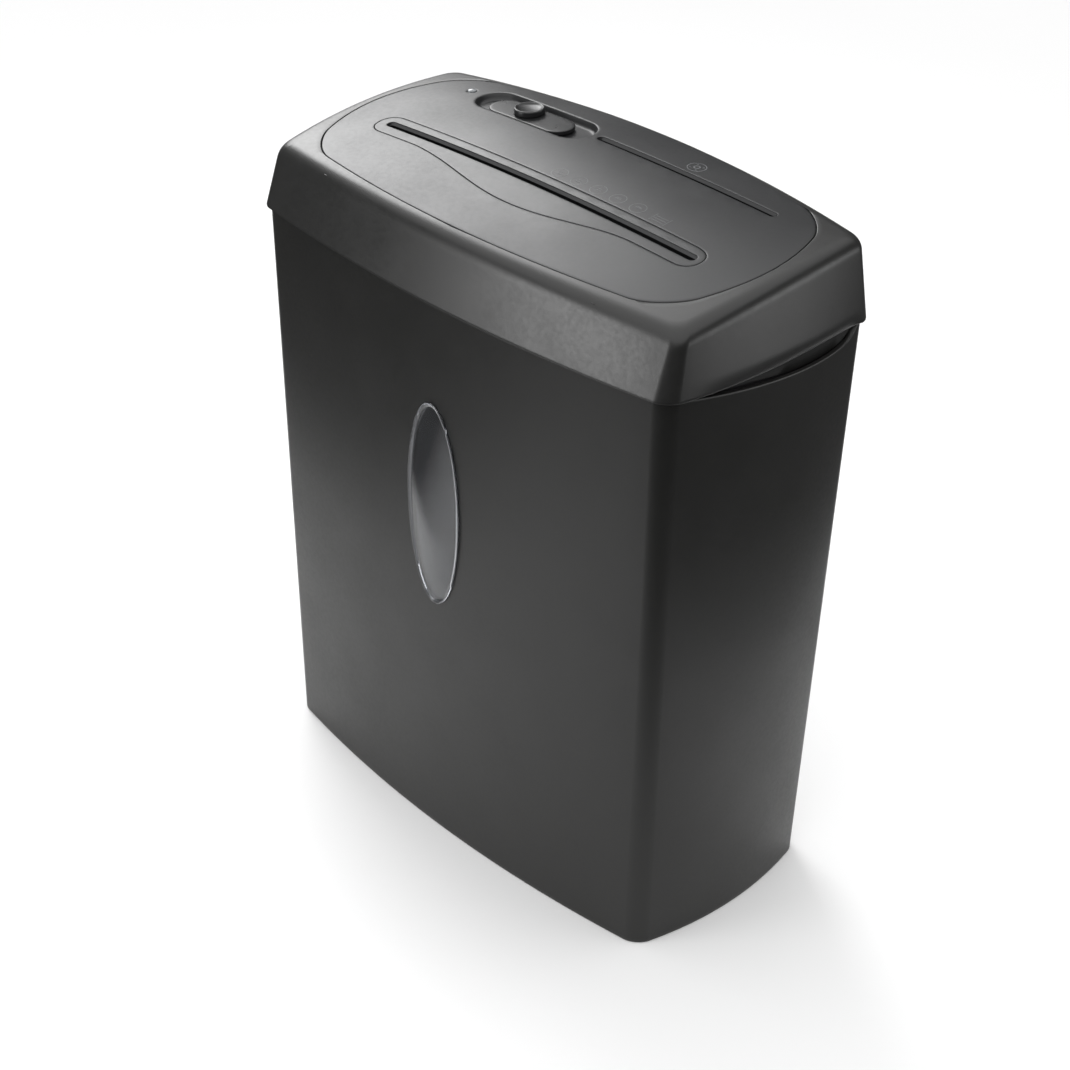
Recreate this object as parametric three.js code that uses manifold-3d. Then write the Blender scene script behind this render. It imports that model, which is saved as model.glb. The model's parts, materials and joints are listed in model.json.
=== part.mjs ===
// Compact cross-cut paper shredder: a tapered waste bin with a lift-off shredding head.
// Millimetres. +X runs to the right along the front, +Y to the back, +Z up.
// The origin is the middle of the bin's underside.
import * as THREE from 'three';
import { mergeVertices } from 'three/addons/utils/BufferGeometryUtils.js';
import Module from 'manifold-3d';

const wasm = await Module();
wasm.setup();

// ---------------------------------------------------------------- driving dimensions

const GAP = 0.3; // clearance left between touching pieces

// Plans are rounded oblongs with bowed sides: overall width and depth, how far the long (bowY)
// and short (bowX) sides bulge past the corners, the corner's tangent length, and the plan's centre.
const BIN_FOOT = { w: 313.9, d: 155.8, bowY: 13.2, bowX: 9.7, corner: 8, cy: 0 };
const BIN_RIM = { w: 320.2, d: 167.2, bowY: 12.6, bowX: 8.6, corner: 8, cy: 0 };
const HEAD_EDGE = { w: 323.6, d: 170.6, bowY: 12.2, bowX: 8.3, corner: 8, cy: 0 };
const SHOULDER = { w: 312.6, d: 156, bowY: 12.8, bowX: 4.6, corner: 6, cy: 0 };
const PANEL = { w: 290.8, d: 141.2, bowY: 13.1, bowX: 16.5, corner: 17.6, cy: 1.8 };
const TRAY = { w: 311, d: 157.4, bowY: 12.6, bowX: 9, corner: 13, cy: 0 };

const BIN_HEIGHT = 337;
const BIN_WALL = 2.4;
const HEAD_BASE = BIN_HEIGHT + 0.4;
const HEAD_WALL = 2.8;
const SHOULDER_DROP = 7.7; // height of the rolled edge between the head's wall and its top
const SHOULDER_ROLL = 4.4; // how far that rolled edge runs inward
const PANEL_THICK = 2.6;
const LEDGE_WIDTH = 4.5;
const TRAY_FLOOR = 289;
const TRAY_TOP = 344;
const TRAY_WALL = 2.2;

// The crowned top slopes forward and falls away to both sides.
const dome = (x, y) => 385.9 + 0.1031 * y - 0.00024 * x * x - 0.00088 * y * y;

const WINDOW = { z: 219.1, halfWidth: 20.5, halfHeight: 61.7, rim: 2 };
const SCOOP = { front: -60, back: 63, controlY: 64.5, controlDrop: 15.6 };

const SLOT = { x0: -114, x1: 114, y: -15.3, width: 5.4 };
const THROAT = { x0: -113.2, x1: 113.2, wall: 1.6, bottom: 345 };
const DISC_SLOT = { x0: -13, x1: 111.5, y: 43.6, width: 4.8 };
const CHUTE = { bore: 6.6, wall: 1.5, bottom: 352.5, flange: 380.6, flangeThick: 1.5 };
const RECESS = { x0: -102.5, x1: -18, y: 42.5, width: 25, depth: 3.7 };
const SLIDER = { x0: -91, x1: -32, y: 40.8, width: 19.4, under: 0.6, thick: 2.4 };
const KNOB = { x: -65, y: 42.2, r: 8.5 };
const LED = { x: -112.5, y: 43, r: 2.5 };

// Cutting block: two paper cutters under the slot and two slim disc slitters under the disc slot.
const SHAFT_Z = 322;
const CUTTER_SPACING = 31;
const CUTTER_A = { y: SLOT.y - CUTTER_SPACING / 2, z: SHAFT_Z };
const CUTTER_B = { y: CUTTER_A.y + CUTTER_SPACING, z: SHAFT_Z };
const SLITTER_SPACING = 24;
const SLITTER_FRONT = { y: CUTTER_B.y + CUTTER_SPACING, z: SHAFT_Z };
const SLITTER_REAR = { y: SLITTER_FRONT.y + SLITTER_SPACING, z: SHAFT_Z };
const BLADE_COUNT = 18;
const BLADE_PITCH = 12;
const BLADE_THICK = BLADE_PITCH / 2 - GAP;
const BLADE_START = -BLADE_COUNT * BLADE_PITCH / 2;
const BLADE_TIP = 17.2;
const CORE_R = 13.3;
const JOURNAL_R = 6;
const SHAFT_R = 5;
const SLITTER_R = 12.5;
const SLITTER_STARTS = [20, 50, 80];
const SLITTER_THICK = 4;

const FRAME_X = 116; // inner face of each end plate
const PLATE = 1.6;
const AXLE_R = 3;
const ROD_R = 3.5;
const RODS = [{ y: -59.5, z: 303.5 }, { y: 19.5, z: 302 }, { y: 58.8, z: 303.5 }];

// Reduction gears: teeth and module of each meshing pair, from the motor to the front cutter.
const STAGE_1 = { module: 1.3, pinion: 10, wheel: 36 };
const STAGE_2 = { module: 1.55, pinion: 10, wheel: 32 };
const STAGE_3 = { module: 1.8, pinion: 10, wheel: 28 };
const SYNC = { module: CUTTER_SPACING / 16, teeth: 16 };
const SLITTER_GEAR = { module: SLITTER_SPACING / 16, teeth: 16 };
const PLANE_1 = [-123.6, -119];
const PLANE_2 = [-130, -124.8];
const PLANE_3 = [-138, -131.2];
const SYNC_PLANE = [119, 126];
const SLITTER_PLANE = [-22.2, -16.8];

const MOTOR = { y: 44, z: 335, r: 22.5, wall: 1.5, x0: -115.2, x1: -42 };
const COVER = { wall: 1.8, clearance: 1.1, outer: -141.4 };
const BOSSES = [[-100, -66.5], [100, -66.5], [-6, 71.8], [104, 66.3]];
const BOSS_R = 3.2;
const SCREW_R = 1.6;
const INLET = { x: -90, z: 357, r: 6.5, cord: 3.6 };
const PLUNGER = { x: -148.8, width: 3, depth: 5 };
const SENSOR = { y: -6, z: 360, axleR: 1.2 };

// ---------------------------------------------------------------- shape helpers

const inset = (plan, by) => ({ ...plan, w: plan.w - 2 * by, d: plan.d - 2 * by });

const mixPlans = (a, b, t) => {
  const mixed = {};
  for (const key of Object.keys(a)) {
    mixed[key] = a[key] + (b[key] - a[key]) * t;
  }
  return mixed;
};

/** Points of a bowed, round-cornered oblong, anticlockwise from the front left corner. */
function planPoints(plan) {
  const cx = plan.w / 2 - plan.bowX;
  const cy = plan.d / 2 - plan.bowY;
  const sides = [
    { steps: 8, half: cx, at: (s) => [s * cx, -cy - plan.bowY * (1 - s * s)] },
    { steps: 4, half: cy, at: (s) => [cx + plan.bowX * (1 - s * s), s * cy] },
    { steps: 8, half: cx, at: (s) => [-s * cx, cy + plan.bowY * (1 - s * s)] },
    { steps: 4, half: cy, at: (s) => [-cx - plan.bowX * (1 - s * s), -s * cy] },
  ];
  const cornerSteps = 3;
  const points = [];
  sides.forEach((side, index) => {
    const reach = 1 - plan.corner / side.half;
    for (let i = 0; i <= side.steps; i += 1) {
      points.push(side.at(reach * (2 * i / side.steps - 1)));
    }
    const next = sides[(index + 1) % 4];
    const from = side.at(reach);
    const corner = side.at(1);
    const to = next.at(-(1 - plan.corner / next.half));
    for (let i = 1; i < cornerSteps; i += 1) {
      const t = i / cornerSteps;
      const weights = [(1 - t) ** 2, Math.SQRT2 * t * (1 - t), t * t];
      const total = weights[0] + weights[1] + weights[2];
      points.push([0, 1].map((k) => (
        weights[0] * from[k] + weights[1] * corner[k] + weights[2] * to[k]) / total));
    }
  });
  return points.map(([x, y]) => [x, y + plan.cy]);
}

/** Points of an oblong with half-round ends, lying along X. */
function stadium({ x0, x1, y, width }, grow = 0, steps = 6) {
  const r = width / 2 + grow;
  const points = [];
  for (const [x, start] of [[x1 - width / 2, -Math.PI / 2], [x0 + width / 2, Math.PI / 2]]) {
    for (let i = 0; i <= steps; i += 1) {
      const angle = start + Math.PI * i / steps;
      points.push([x + r * Math.cos(angle), y + r * Math.sin(angle)]);
    }
  }
  return points;
}

function circle(x, y, r, steps = 20) {
  const points = [];
  for (let i = 0; i < steps; i += 1) {
    const angle = 2 * Math.PI * i / steps;
    points.push([x + r * Math.cos(angle), y + r * Math.sin(angle)]);
  }
  return points;
}

/** Lifts plan points to a ring in space; z is a height or a function of x and y. */
const ring = (points, z) => points.map(([x, y]) => [x, y, typeof z === 'function' ? z(x, y) : z]);

const overDome = (points, offset) => ring(points, (x, y) => dome(x, y) + offset);

/** A bare, welded geometry from vertex triples and triangle indices. */
function bare(vertices, triangles) {
  const geometry = new THREE.BufferGeometry();
  geometry.setAttribute('position', new THREE.BufferAttribute(new Float32Array(vertices.flat()), 3));
  geometry.setIndex(triangles.flat());
  return geometry;
}

function weld(geometry) {
  geometry.deleteAttribute('normal');
  geometry.deleteAttribute('uv');
  return mergeVertices(geometry, 1e-4);
}

/**
 * Skins a stack of equal rings. With no end points the last ring joins the first, as in a tube's
 * wall; with a first and last point the stack is closed by a fan at each end.
 */
function loft(rings, ends = null) {
  const count = rings[0].length;
  const vertices = rings.flat();
  const triangles = [];
  const last = ends ? rings.length - 1 : rings.length;
  for (let r = 0; r < last; r += 1) {
    const low = r * count;
    const high = ((r + 1) % rings.length) * count;
    for (let i = 0; i < count; i += 1) {
      const j = (i + 1) % count;
      triangles.push([low + i, low + j, high + j], [low + i, high + j, high + i]);
    }
  }
  if (ends) {
    const top = (rings.length - 1) * count;
    vertices.push(ends[0], ends[1]);
    for (let i = 0; i < count; i += 1) {
      const j = (i + 1) % count;
      triangles.push([vertices.length - 2, j, i], [vertices.length - 1, top + i, top + j]);
    }
  }
  return outward(bare(vertices, triangles));
}

/** Turns the faces of a closed geometry outward. */
function outward(geometry) {
  const p = geometry.attributes.position;
  const index = geometry.index.array;
  const [a, b, c] = [new THREE.Vector3(), new THREE.Vector3(), new THREE.Vector3()];
  let volume = 0;
  for (let i = 0; i < index.length; i += 3) {
    a.fromBufferAttribute(p, index[i]);
    b.fromBufferAttribute(p, index[i + 1]);
    c.fromBufferAttribute(p, index[i + 2]);
    volume += a.dot(b.cross(c));
  }
  if (volume < 0) {
    for (let i = 0; i < index.length; i += 3) {
      [index[i], index[i + 1]] = [index[i + 1], index[i]];
    }
  }
  return geometry;
}

function extrude(points, depth, holes = []) {
  const shape = new THREE.Shape(points.map(([x, y]) => new THREE.Vector2(x, y)));
  for (const hole of holes) {
    shape.holes.push(new THREE.Path(hole.map(([x, y]) => new THREE.Vector2(x, y))));
  }
  return new THREE.ExtrudeGeometry(shape, { depth, bevelEnabled: false, curveSegments: 8 });
}

const prismZ = (points, z0, z1, holes) => weld(extrude(points, z1 - z0, holes).translate(0, 0, z0));

/** A prism along X from an outline given as [y, z] points. */
function prismX(points, x0, x1, holes) {
  const axes = new THREE.Matrix4().makeBasis(
    new THREE.Vector3(0, 1, 0), new THREE.Vector3(0, 0, 1), new THREE.Vector3(1, 0, 0));
  return weld(extrude(points, x1 - x0, holes).applyMatrix4(axes).translate(x0, 0, 0));
}

/** A box from its lowest and highest corners. */
function box([x0, y0, z0], [x1, y1, z1]) {
  const geometry = new THREE.BoxGeometry(x1 - x0, y1 - y0, z1 - z0);
  return weld(geometry.translate((x0 + x1) / 2, (y0 + y1) / 2, (z0 + z1) / 2));
}

/** A round bar along X. */
const barX = (x0, x1, r, y = 0, z = 0, steps = 16) => prismX(circle(y, z, r, steps), x0, x1);

/** A round bar along Z. */
const barZ = (x, y, r, z0, z1, steps = 12) => prismZ(circle(x, y, r, steps), z0, z1);

/** A turned piece on the X axis from a closed profile of [x, radius] points. */
function turnedX(profile, steps = 14) {
  const points = [...profile, profile[0]].map(([x, r]) => new THREE.Vector2(r, x));
  const lathe = new THREE.LatheGeometry(points, steps);
  return outward(weld(lathe.rotateZ(-Math.PI / 2)));
}

function toSolid(geometry) {
  return new wasm.Manifold(new wasm.Mesh({
    numProp: 3,
    vertProperties: new Float32Array(geometry.attributes.position.array),
    triVerts: new Uint32Array(geometry.index.array),
  }));
}

function fromSolid(solid) {
  const mesh = solid.getMesh();
  const geometry = new THREE.BufferGeometry();
  geometry.setAttribute('position', new THREE.BufferAttribute(mesh.vertProperties, 3));
  geometry.setIndex(new THREE.BufferAttribute(mesh.triVerts, 1));
  return geometry;
}

/** Joins the added geometries to the base, then cuts the others away. */
function combine(base, added, cut) {
  let solid = toSolid(base);
  for (const geometry of added) {
    solid = solid.add(toSolid(geometry));
  }
  for (const geometry of cut) {
    solid = solid.subtract(toSolid(geometry));
  }
  return fromSolid(solid);
}

/** A plate that follows the crowned top, between two offsets from it. */
function domePlate(plan, upper, lower, centre) {
  const shrink = (k) => plan.map(([x, y]) => [
    centre[0] + (x - centre[0]) * k, centre[1] + (y - centre[1]) * k]);
  const scales = [0.5, 1];
  const rings = [
    ...scales.map((k) => overDome(shrink(k), upper)),
    ...scales.reverse().map((k) => overDome(shrink(k), lower)),
  ];
  const ends = [upper, lower].map((offset) => [...centre, dome(...centre) + offset]);
  return loft(rings, ends);
}

// ---------------------------------------------------------------- materials and the tree

const FINISHES = {
  bin_plastic: [0x3a3a39, 0.55, 0],
  head_plastic: [0x343435, 0.5, 0],
  panel_plastic: [0x3c3c3e, 0.35, 0],
  control_plastic: [0x2c2c2e, 0.35, 0],
  inner_plastic: [0x1f1f21, 0.6, 0],
  clear_plastic: [0x9fa3a6, 0.1, 0],
  led_plastic: [0xd8dce0, 0.2, 0],
  cutter_steel: [0x8a8c8f, 0.35, 1],
  zinc_steel: [0xa8abae, 0.4, 1],
  nylon: [0xdcd9cf, 0.5, 0],
  bronze: [0x9a7440, 0.4, 1],
  magnet: [0x3b3b3d, 0.7, 0],
  lamination: [0x6d6f73, 0.45, 1],
  copper: [0xb06a3a, 0.35, 1],
  board: [0x2f5a3a, 0.6, 0],
  relay: [0x1d3a66, 0.5, 0],
};

const shredder = new THREE.Group();
const bin = new THREE.Group();
const head = new THREE.Group();
shredder.add(bin, head);

function addPiece(parent, name, finish, geometry) {
  const [color, roughness, metalness] = FINISHES[finish];
  const mesh = new THREE.Mesh(geometry, new THREE.MeshStandardMaterial({ color, roughness, metalness }));
  mesh.name = name;
  parent.add(mesh);
  return mesh;
}

/** A group turning on an axis parallel to X at the given y and z. */
function rotor(axis) {
  const group = new THREE.Group();
  group.position.set(0, axis.y, axis.z);
  head.add(group);
  return group;
}

// ---------------------------------------------------------------- bin

const binPlanAt = (z) => mixPlans(BIN_FOOT, BIN_RIM, z / BIN_HEIGHT);

/** Outline, as [y, z] points, of the finger scoop dipped into the bin's rim. */
function scoopOutline() {
  const points = [];
  const steps = 12;
  for (let i = 0; i <= steps; i += 1) {
    const t = i / steps;
    const y = (1 - t) ** 2 * SCOOP.front + 2 * t * (1 - t) * SCOOP.controlY + t * t * SCOOP.back;
    points.push([y, BIN_HEIGHT + 0.1 - 2 * t * (1 - t) * SCOOP.controlDrop]);
  }
  points.push([SCOOP.back, BIN_HEIGHT + 5], [SCOOP.front, BIN_HEIGHT + 5]);
  return points;
}

/** An elliptical ring on the bin's front wall, standing out from its outer face by proud. */
function windowRing(halfWidth, halfHeight, proud, steps = 20) {
  const points = [];
  for (let i = 0; i < steps; i += 1) {
    const angle = 2 * Math.PI * i / steps;
    const x = halfWidth * Math.cos(angle);
    const z = WINDOW.z + halfHeight * Math.sin(angle);
    points.push([x, frontFace(x, z) - proud, z]);
  }
  return points;
}

function frontFace(x, z) {
  const plan = binPlanAt(z);
  const s = x / (plan.w / 2 - plan.bowX);
  return -plan.d / 2 + plan.bowY * s * s;
}

function binShell() {
  const floor = 2.6;
  const rings = [
    ring(planPoints(BIN_FOOT), 0),
    ring(planPoints(BIN_RIM), BIN_HEIGHT),
    ring(planPoints(inset(BIN_RIM, BIN_WALL)), BIN_HEIGHT),
    ring(planPoints(inset(binPlanAt(floor), BIN_WALL)), floor),
  ];
  const shell = loft(rings, [[0, 0, 0], [0, 0, floor]]);
  const clear = GAP + WINDOW.rim;
  const hole = [6, -6].map((proud) => (
    windowRing(WINDOW.halfWidth - clear, WINDOW.halfHeight - clear, proud)));
  const windowCut = loft(hole, [[0, frontFace(0, WINDOW.z) - 6, WINDOW.z], [0, frontFace(0, WINDOW.z) + 6, WINDOW.z]]);
  const scoops = [prismX(scoopOutline(), -170, -140), prismX(scoopOutline(), 140, 170)];
  const post = box([-157.1, -5, 245], [PLUNGER.x + 4, 5, TRAY_FLOOR - 1.6]);
  return combine(shell, [post], [windowCut, ...scoops]);
}

/** Clear window: a snapped-in lens with a raised rim and a softly bulged middle. */
function windowLens() {
  const { halfWidth: a, halfHeight: b, rim } = WINDOW;
  const plug = rim + 2 * GAP;
  const rings = [
    windowRing(a * 0.5, b * 0.6, -0.2),
    windowRing(a - plug, b - plug, -BIN_WALL - 0.6),
    windowRing(a - plug, b - plug, GAP),
    windowRing(a, b, GAP),
    windowRing(a, b, 0.9),
    windowRing(a - 0.6, b - 0.6, 1.4),
    windowRing(a - rim, b - rim, 1.4),
    windowRing(a - rim - 0.6, b - rim - 0.6, 0.6),
    windowRing(a * 0.5, b * 0.6, 2.3),
  ];
  const middle = frontFace(0, WINDOW.z);
  return loft(rings, [[0, middle - 0.7, WINDOW.z], [0, middle - 2.9, WINDOW.z]]);
}

addPiece(bin, 'bin_shell', 'bin_plastic', binShell());
addPiece(bin, 'bin_window', 'clear_plastic', windowLens());

// ---------------------------------------------------------------- head covers

function headHousing() {
  const roll = [0, 45, 90].map((degrees) => {
    const angle = THREE.MathUtils.degToRad(degrees);
    const plan = inset(SHOULDER, SHOULDER_ROLL * (1 - Math.cos(angle)));
    return overDome(planPoints(plan), -SHOULDER_DROP * (1 - Math.sin(angle)));
  });
  const aperture = planPoints(inset(PANEL, -GAP));
  const ledge = planPoints(inset(PANEL, LEDGE_WIDTH));
  const ledgeTop = -PANEL_THICK - GAP;
  const shell = loft([
    ring(planPoints(HEAD_EDGE), HEAD_BASE),
    ...roll,
    overDome(aperture, 0),
    overDome(aperture, ledgeTop),
    overDome(ledge, ledgeTop),
    overDome(ledge, ledgeTop - 2.2),
    overDome(planPoints(inset(SHOULDER, HEAD_WALL)), -SHOULDER_DROP - 2.5),
    ring(planPoints(inset(HEAD_EDGE, HEAD_WALL)), HEAD_BASE),
  ]);
  const bosses = BOSSES.map(([x, y]) => barZ(x, y, BOSS_R, TRAY_FLOOR + 2.7, dome(x, y) - 3.4));
  const bores = BOSSES.map(([x, y]) => barZ(x, y, SCREW_R + GAP, TRAY_FLOOR, TRAY_FLOOR + 14));
  const inlet = barX(60, 90, INLET.r + GAP).rotateZ(Math.PI / 2).translate(INLET.x, 0, INLET.z);
  return combine(shell, bosses, [...bores, inlet]);
}

function topPanel() {
  const centre = [0, PANEL.cy];
  const plate = domePlate(planPoints(PANEL), 0, -PANEL_THICK, centre);
  const recessCentre = [(RECESS.x0 + RECESS.x1) / 2, RECESS.y];
  const cup = domePlate(stadium(RECESS, 2), -1, -RECESS.depth - 1.9, recessCentre);
  const pocket = domePlate(stadium(RECESS), 9, -RECESS.depth, recessCentre);
  const stemSlot = box([KNOB.x - 13, KNOB.y - 3, 370], [KNOB.x + 13, KNOB.y + 3, 392]);
  const bezel = prismZ(bezelOutline(GAP), 360, 400);
  const discSlot = prismZ(stadium(DISC_SLOT), 360, 400);
  const ledHole = barZ(LED.x, LED.y, LED.r + GAP, 370, 400);
  return combine(plate, [cup], [pocket, stemSlot, bezel, discSlot, ledHole]);
}

/** The throat insert's outline: round ends and a belly towards the front. */
function bezelOutline(grow = 0) {
  const back = -7 + grow;
  const front = -24.8 - grow;
  const belly = -38 - grow;
  const left = -120 - grow;
  const right = 117.5 + grow;
  const middle = (back + front) / 2;
  const shape = new THREE.Shape();
  shape.moveTo(-110, back);
  shape.bezierCurveTo(-116.5, back, left, back - 3.5, left, middle);
  shape.bezierCurveTo(left, front + 3.5, -116.5, front, -110, front);
  shape.lineTo(-80, front);
  shape.bezierCurveTo(-50, front - 2, -25, belly, 4, belly);
  shape.bezierCurveTo(35, belly, 55, front - 1.2, 78, front);
  shape.lineTo(108, front);
  shape.bezierCurveTo(114, front, right, front + 3.5, right, middle);
  shape.bezierCurveTo(right, back - 3.5, 114, back, 106, back);
  const points = shape.getPoints(6).map((p) => [p.x, p.y]);
  const [first] = points;
  const final = points[points.length - 1];
  if (Math.hypot(first[0] - final[0], first[1] - final[1]) < 1e-6) {
    points.pop();
  }
  return points;
}

/** Paper entry: a flush insert in the panel with the throat that leads down to the cutters. */
function slotBezel() {
  const plate = domePlate(bezelOutline(), 0, -PANEL_THICK, [0, -18]);
  const throatPlan = { ...THROAT, y: SLOT.y, width: SLOT.width };
  const tube = prismZ(stadium(throatPlan, THROAT.wall, 6), THROAT.bottom, 380.5);
  const bore = prismZ(stadium(throatPlan, 0, 6), THROAT.bottom - 5, 400);
  const mouth = loft(
    [overDome(stadium(SLOT, 0, 6), -1.6), overDome(stadium(SLOT, 0.9, 6), 1)],
    [[0, SLOT.y, dome(0, SLOT.y) - 1.6], [0, SLOT.y, dome(0, SLOT.y) + 1]]);
  const sensorGap = box([-4, SLOT.y + 1.5, 350], [4, -8, 366]);
  return combine(plate, [tube], [bore, mouth, sensorGap]);
}

function discChute() {
  const plan = { ...DISC_SLOT, width: CHUTE.bore };
  const tube = prismZ(stadium(plan, CHUTE.wall), CHUTE.bottom, CHUTE.flange + CHUTE.flangeThick);
  const flange = prismZ(stadium(plan, 5), CHUTE.flange, CHUTE.flange + CHUTE.flangeThick);
  return combine(tube, [flange], [prismZ(stadium(plan), CHUTE.bottom - 5, 400)]);
}

function lowerTray() {
  const rings = [
    ring(planPoints(TRAY), TRAY_FLOOR),
    ring(planPoints(inset(TRAY, -0.5)), TRAY_TOP),
    ring(planPoints(inset(TRAY, TRAY_WALL - 0.5)), TRAY_TOP),
    ring(planPoints(inset(TRAY, TRAY_WALL)), TRAY_FLOOR + 2.4),
  ];
  const tub = loft(rings, [[0, 0, TRAY_FLOOR], [0, 0, TRAY_FLOOR + 2.4]]);
  const ribs = [-88, -32].map((x) => box([x - 1, -69, TRAY_FLOOR + 1], [x + 1, -64, 350]));
  const low = TRAY_FLOOR - 3;
  const high = TRAY_FLOOR + 5;
  const paperDrop = box([-112, CUTTER_A.y - 14, low], [112, CUTTER_B.y + 14, high]);
  const discDrop = box([-9, SLITTER_FRONT.y - 6, low], [112, SLITTER_REAR.y + 5, high]);
  const plungerHole = box([PLUNGER.x - 2, -3, low], [PLUNGER.x + 2, 3, high]);
  const screwHoles = BOSSES.map(([x, y]) => barZ(x, y, SCREW_R + GAP, low, high));
  return combine(tub, ribs, [paperDrop, discDrop, plungerHole, ...screwHoles]);
}

function screw(x, y) {
  const head = barZ(x, y, 3.1, TRAY_FLOOR - 1.9, TRAY_FLOOR - GAP);
  return combine(head, [barZ(x, y, SCREW_R, TRAY_FLOOR - 1, TRAY_FLOOR + 12)], []);
}

function cordInlet() {
  const wallY = 77.4;
  const profile = [
    [wallY - 8, INLET.cord], [wallY + 4.6, INLET.cord], [wallY + 4.6, INLET.r - 1.4],
    [wallY + 1.6, INLET.r], [wallY - 8, INLET.r],
  ];
  return turnedX(profile).rotateZ(Math.PI / 2).translate(INLET.x, 0, INLET.z);
}

addPiece(head, 'head_housing', 'head_plastic', headHousing());
addPiece(head, 'top_panel', 'panel_plastic', topPanel());
addPiece(head, 'slot_bezel', 'panel_plastic', slotBezel());
addPiece(head, 'disc_chute', 'inner_plastic', discChute());
addPiece(head, 'lower_tray', 'inner_plastic', lowerTray());
addPiece(head, 'cord_inlet', 'inner_plastic', cordInlet());
addPiece(head, 'led_lens', 'led_plastic', loft(
  [overDome(circle(LED.x, LED.y, LED.r, 12), -5), overDome(circle(LED.x, LED.y, LED.r, 12), 0.2),
    overDome(circle(LED.x, LED.y, LED.r * 0.6, 12), 0.8)],
  [[LED.x, LED.y, dome(LED.x, LED.y) - 5], [LED.x, LED.y, dome(LED.x, LED.y) + 1]]));
BOSSES.forEach(([x, y], index) => addPiece(head, `housing_screw_${index + 1}`, 'zinc_steel', screw(x, y)));

// ---------------------------------------------------------------- frame

/** Axle position at the given distances from two others; of the two, the lower one. */
function axleBetween(p, pDistance, q, qDistance) {
  const span = Math.hypot(q.y - p.y, q.z - p.z);
  const along = (pDistance ** 2 - qDistance ** 2 + span ** 2) / (2 * span);
  const off = Math.sqrt(pDistance ** 2 - along ** 2);
  const [uy, uz] = [(q.y - p.y) / span, (q.z - p.z) / span];
  return { y: p.y + along * uy + off * uz, z: p.z + along * uz - off * uy };
}

const centreDistance = (stage) => stage.module * (stage.pinion + stage.wheel) / 2;
const AXLE_2_ANGLE = THREE.MathUtils.degToRad(38);
const AXLE_2 = {
  y: CUTTER_A.y + centreDistance(STAGE_3) * Math.cos(AXLE_2_ANGLE),
  z: CUTTER_A.z + centreDistance(STAGE_3) * Math.sin(AXLE_2_ANGLE),
};
const AXLE_1 = axleBetween(AXLE_2, centreDistance(STAGE_2), MOTOR, centreDistance(STAGE_1));

const holeAt = (axis, r, steps = 16) => circle(axis.y, axis.z, r, steps);
const BUSH_HOLE = 9.8;
const rodHoles = RODS.map((rod) => holeAt(rod, ROD_R + GAP, 12));
const cutterHoles = [CUTTER_A, CUTTER_B].map((axis) => holeAt(axis, BUSH_HOLE));
const slitterHoles = [SLITTER_FRONT, SLITTER_REAR].map((axis) => holeAt(axis, SHAFT_R + GAP));
const endPlate = [[-62.5, 297.5], [61, 297.5], [65, 301.5], [65, 353], [-44, 353], [-64.5, 336], [-64.5, 299.5]];

addPiece(head, 'end_plate_left', 'zinc_steel', prismX(endPlate, -FRAME_X - PLATE, -FRAME_X, [
  ...cutterHoles, ...rodHoles, holeAt(AXLE_1, AXLE_R + GAP, 12), holeAt(AXLE_2, AXLE_R + GAP, 12), holeAt(MOTOR, 4, 12)]));
addPiece(head, 'end_plate_right', 'zinc_steel', prismX(
  endPlate, FRAME_X, FRAME_X + PLATE, [...cutterHoles, ...rodHoles, ...slitterHoles]));
addPiece(head, 'centre_plate', 'zinc_steel', prismX(
  [[23.8, 297.5], [65, 297.5], [65, 345], [23.8, 345]], -15, -15 + PLATE, [rodHoles[2], ...slitterHoles]));
['tie_rod_front', 'tie_rod_middle', 'tie_rod_rear'].forEach((name, index) => addPiece(
  head, name, 'zinc_steel', barX(-FRAME_X - 2.4, FRAME_X + 2.4, ROD_R, RODS[index].y, RODS[index].z, 12)));

function bush(side) {
  const inner = JOURNAL_R + GAP;
  const profile = [[112.3, inner], [112.3, 11], [FRAME_X - GAP, 11], [FRAME_X - GAP, BUSH_HOLE - GAP],
    [118.3, BUSH_HOLE - GAP], [118.3, inner]];
  return turnedX(profile.map(([x, r]) => [side * x, r]));
}

for (const [letter, axis] of [['a', CUTTER_A], ['b', CUTTER_B]]) {
  for (const [word, side] of [['left', -1], ['right', 1]]) {
    addPiece(head, `bush_${letter}_${word}`, 'bronze', bush(side)).position.set(0, axis.y, axis.z);
  }
}

/** Stripper comb behind the rear cutter: a bar with a finger in every gap between its blades. */
function comb(mirrored, fingerCentres) {
  const flip = (points) => points.map(([y, z]) => [mirrored ? 2 * SLOT.y - y : y, z]);
  const reach = CUTTER_B.y;
  const bar = prismX(flip([[reach + 14, 335.4], [reach + 20.6, 335.4], [reach + 20.6, 341], [reach + 14, 341]]),
    BLADE_START, -BLADE_START);
  const finger = flip([[reach + 18, 340], [reach + 12, 340], [reach + 10, 333], [reach + 14.2, 324.5],
    [reach + 14.2, 318], [reach + 16.2, 318]]);
  const fingers = fingerCentres.map((x) => prismX(finger, x - BLADE_THICK / 2 + 0.2, x + BLADE_THICK / 2 - 0.2));
  return combine(bar, fingers, []);
}

const bladeStart = (index) => BLADE_START + index * BLADE_PITCH;
const gapCentres = (shift) => Array.from({ length: BLADE_COUNT - 1 }, (_, i) => (
  bladeStart(i) + shift + BLADE_THICK + (BLADE_PITCH - BLADE_THICK) / 2));

addPiece(head, 'comb_front', 'inner_plastic', comb(true, gapCentres(0)));
addPiece(head, 'comb_rear', 'inner_plastic', comb(false, gapCentres(BLADE_PITCH / 2)));

// ---------------------------------------------------------------- cutters

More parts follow.
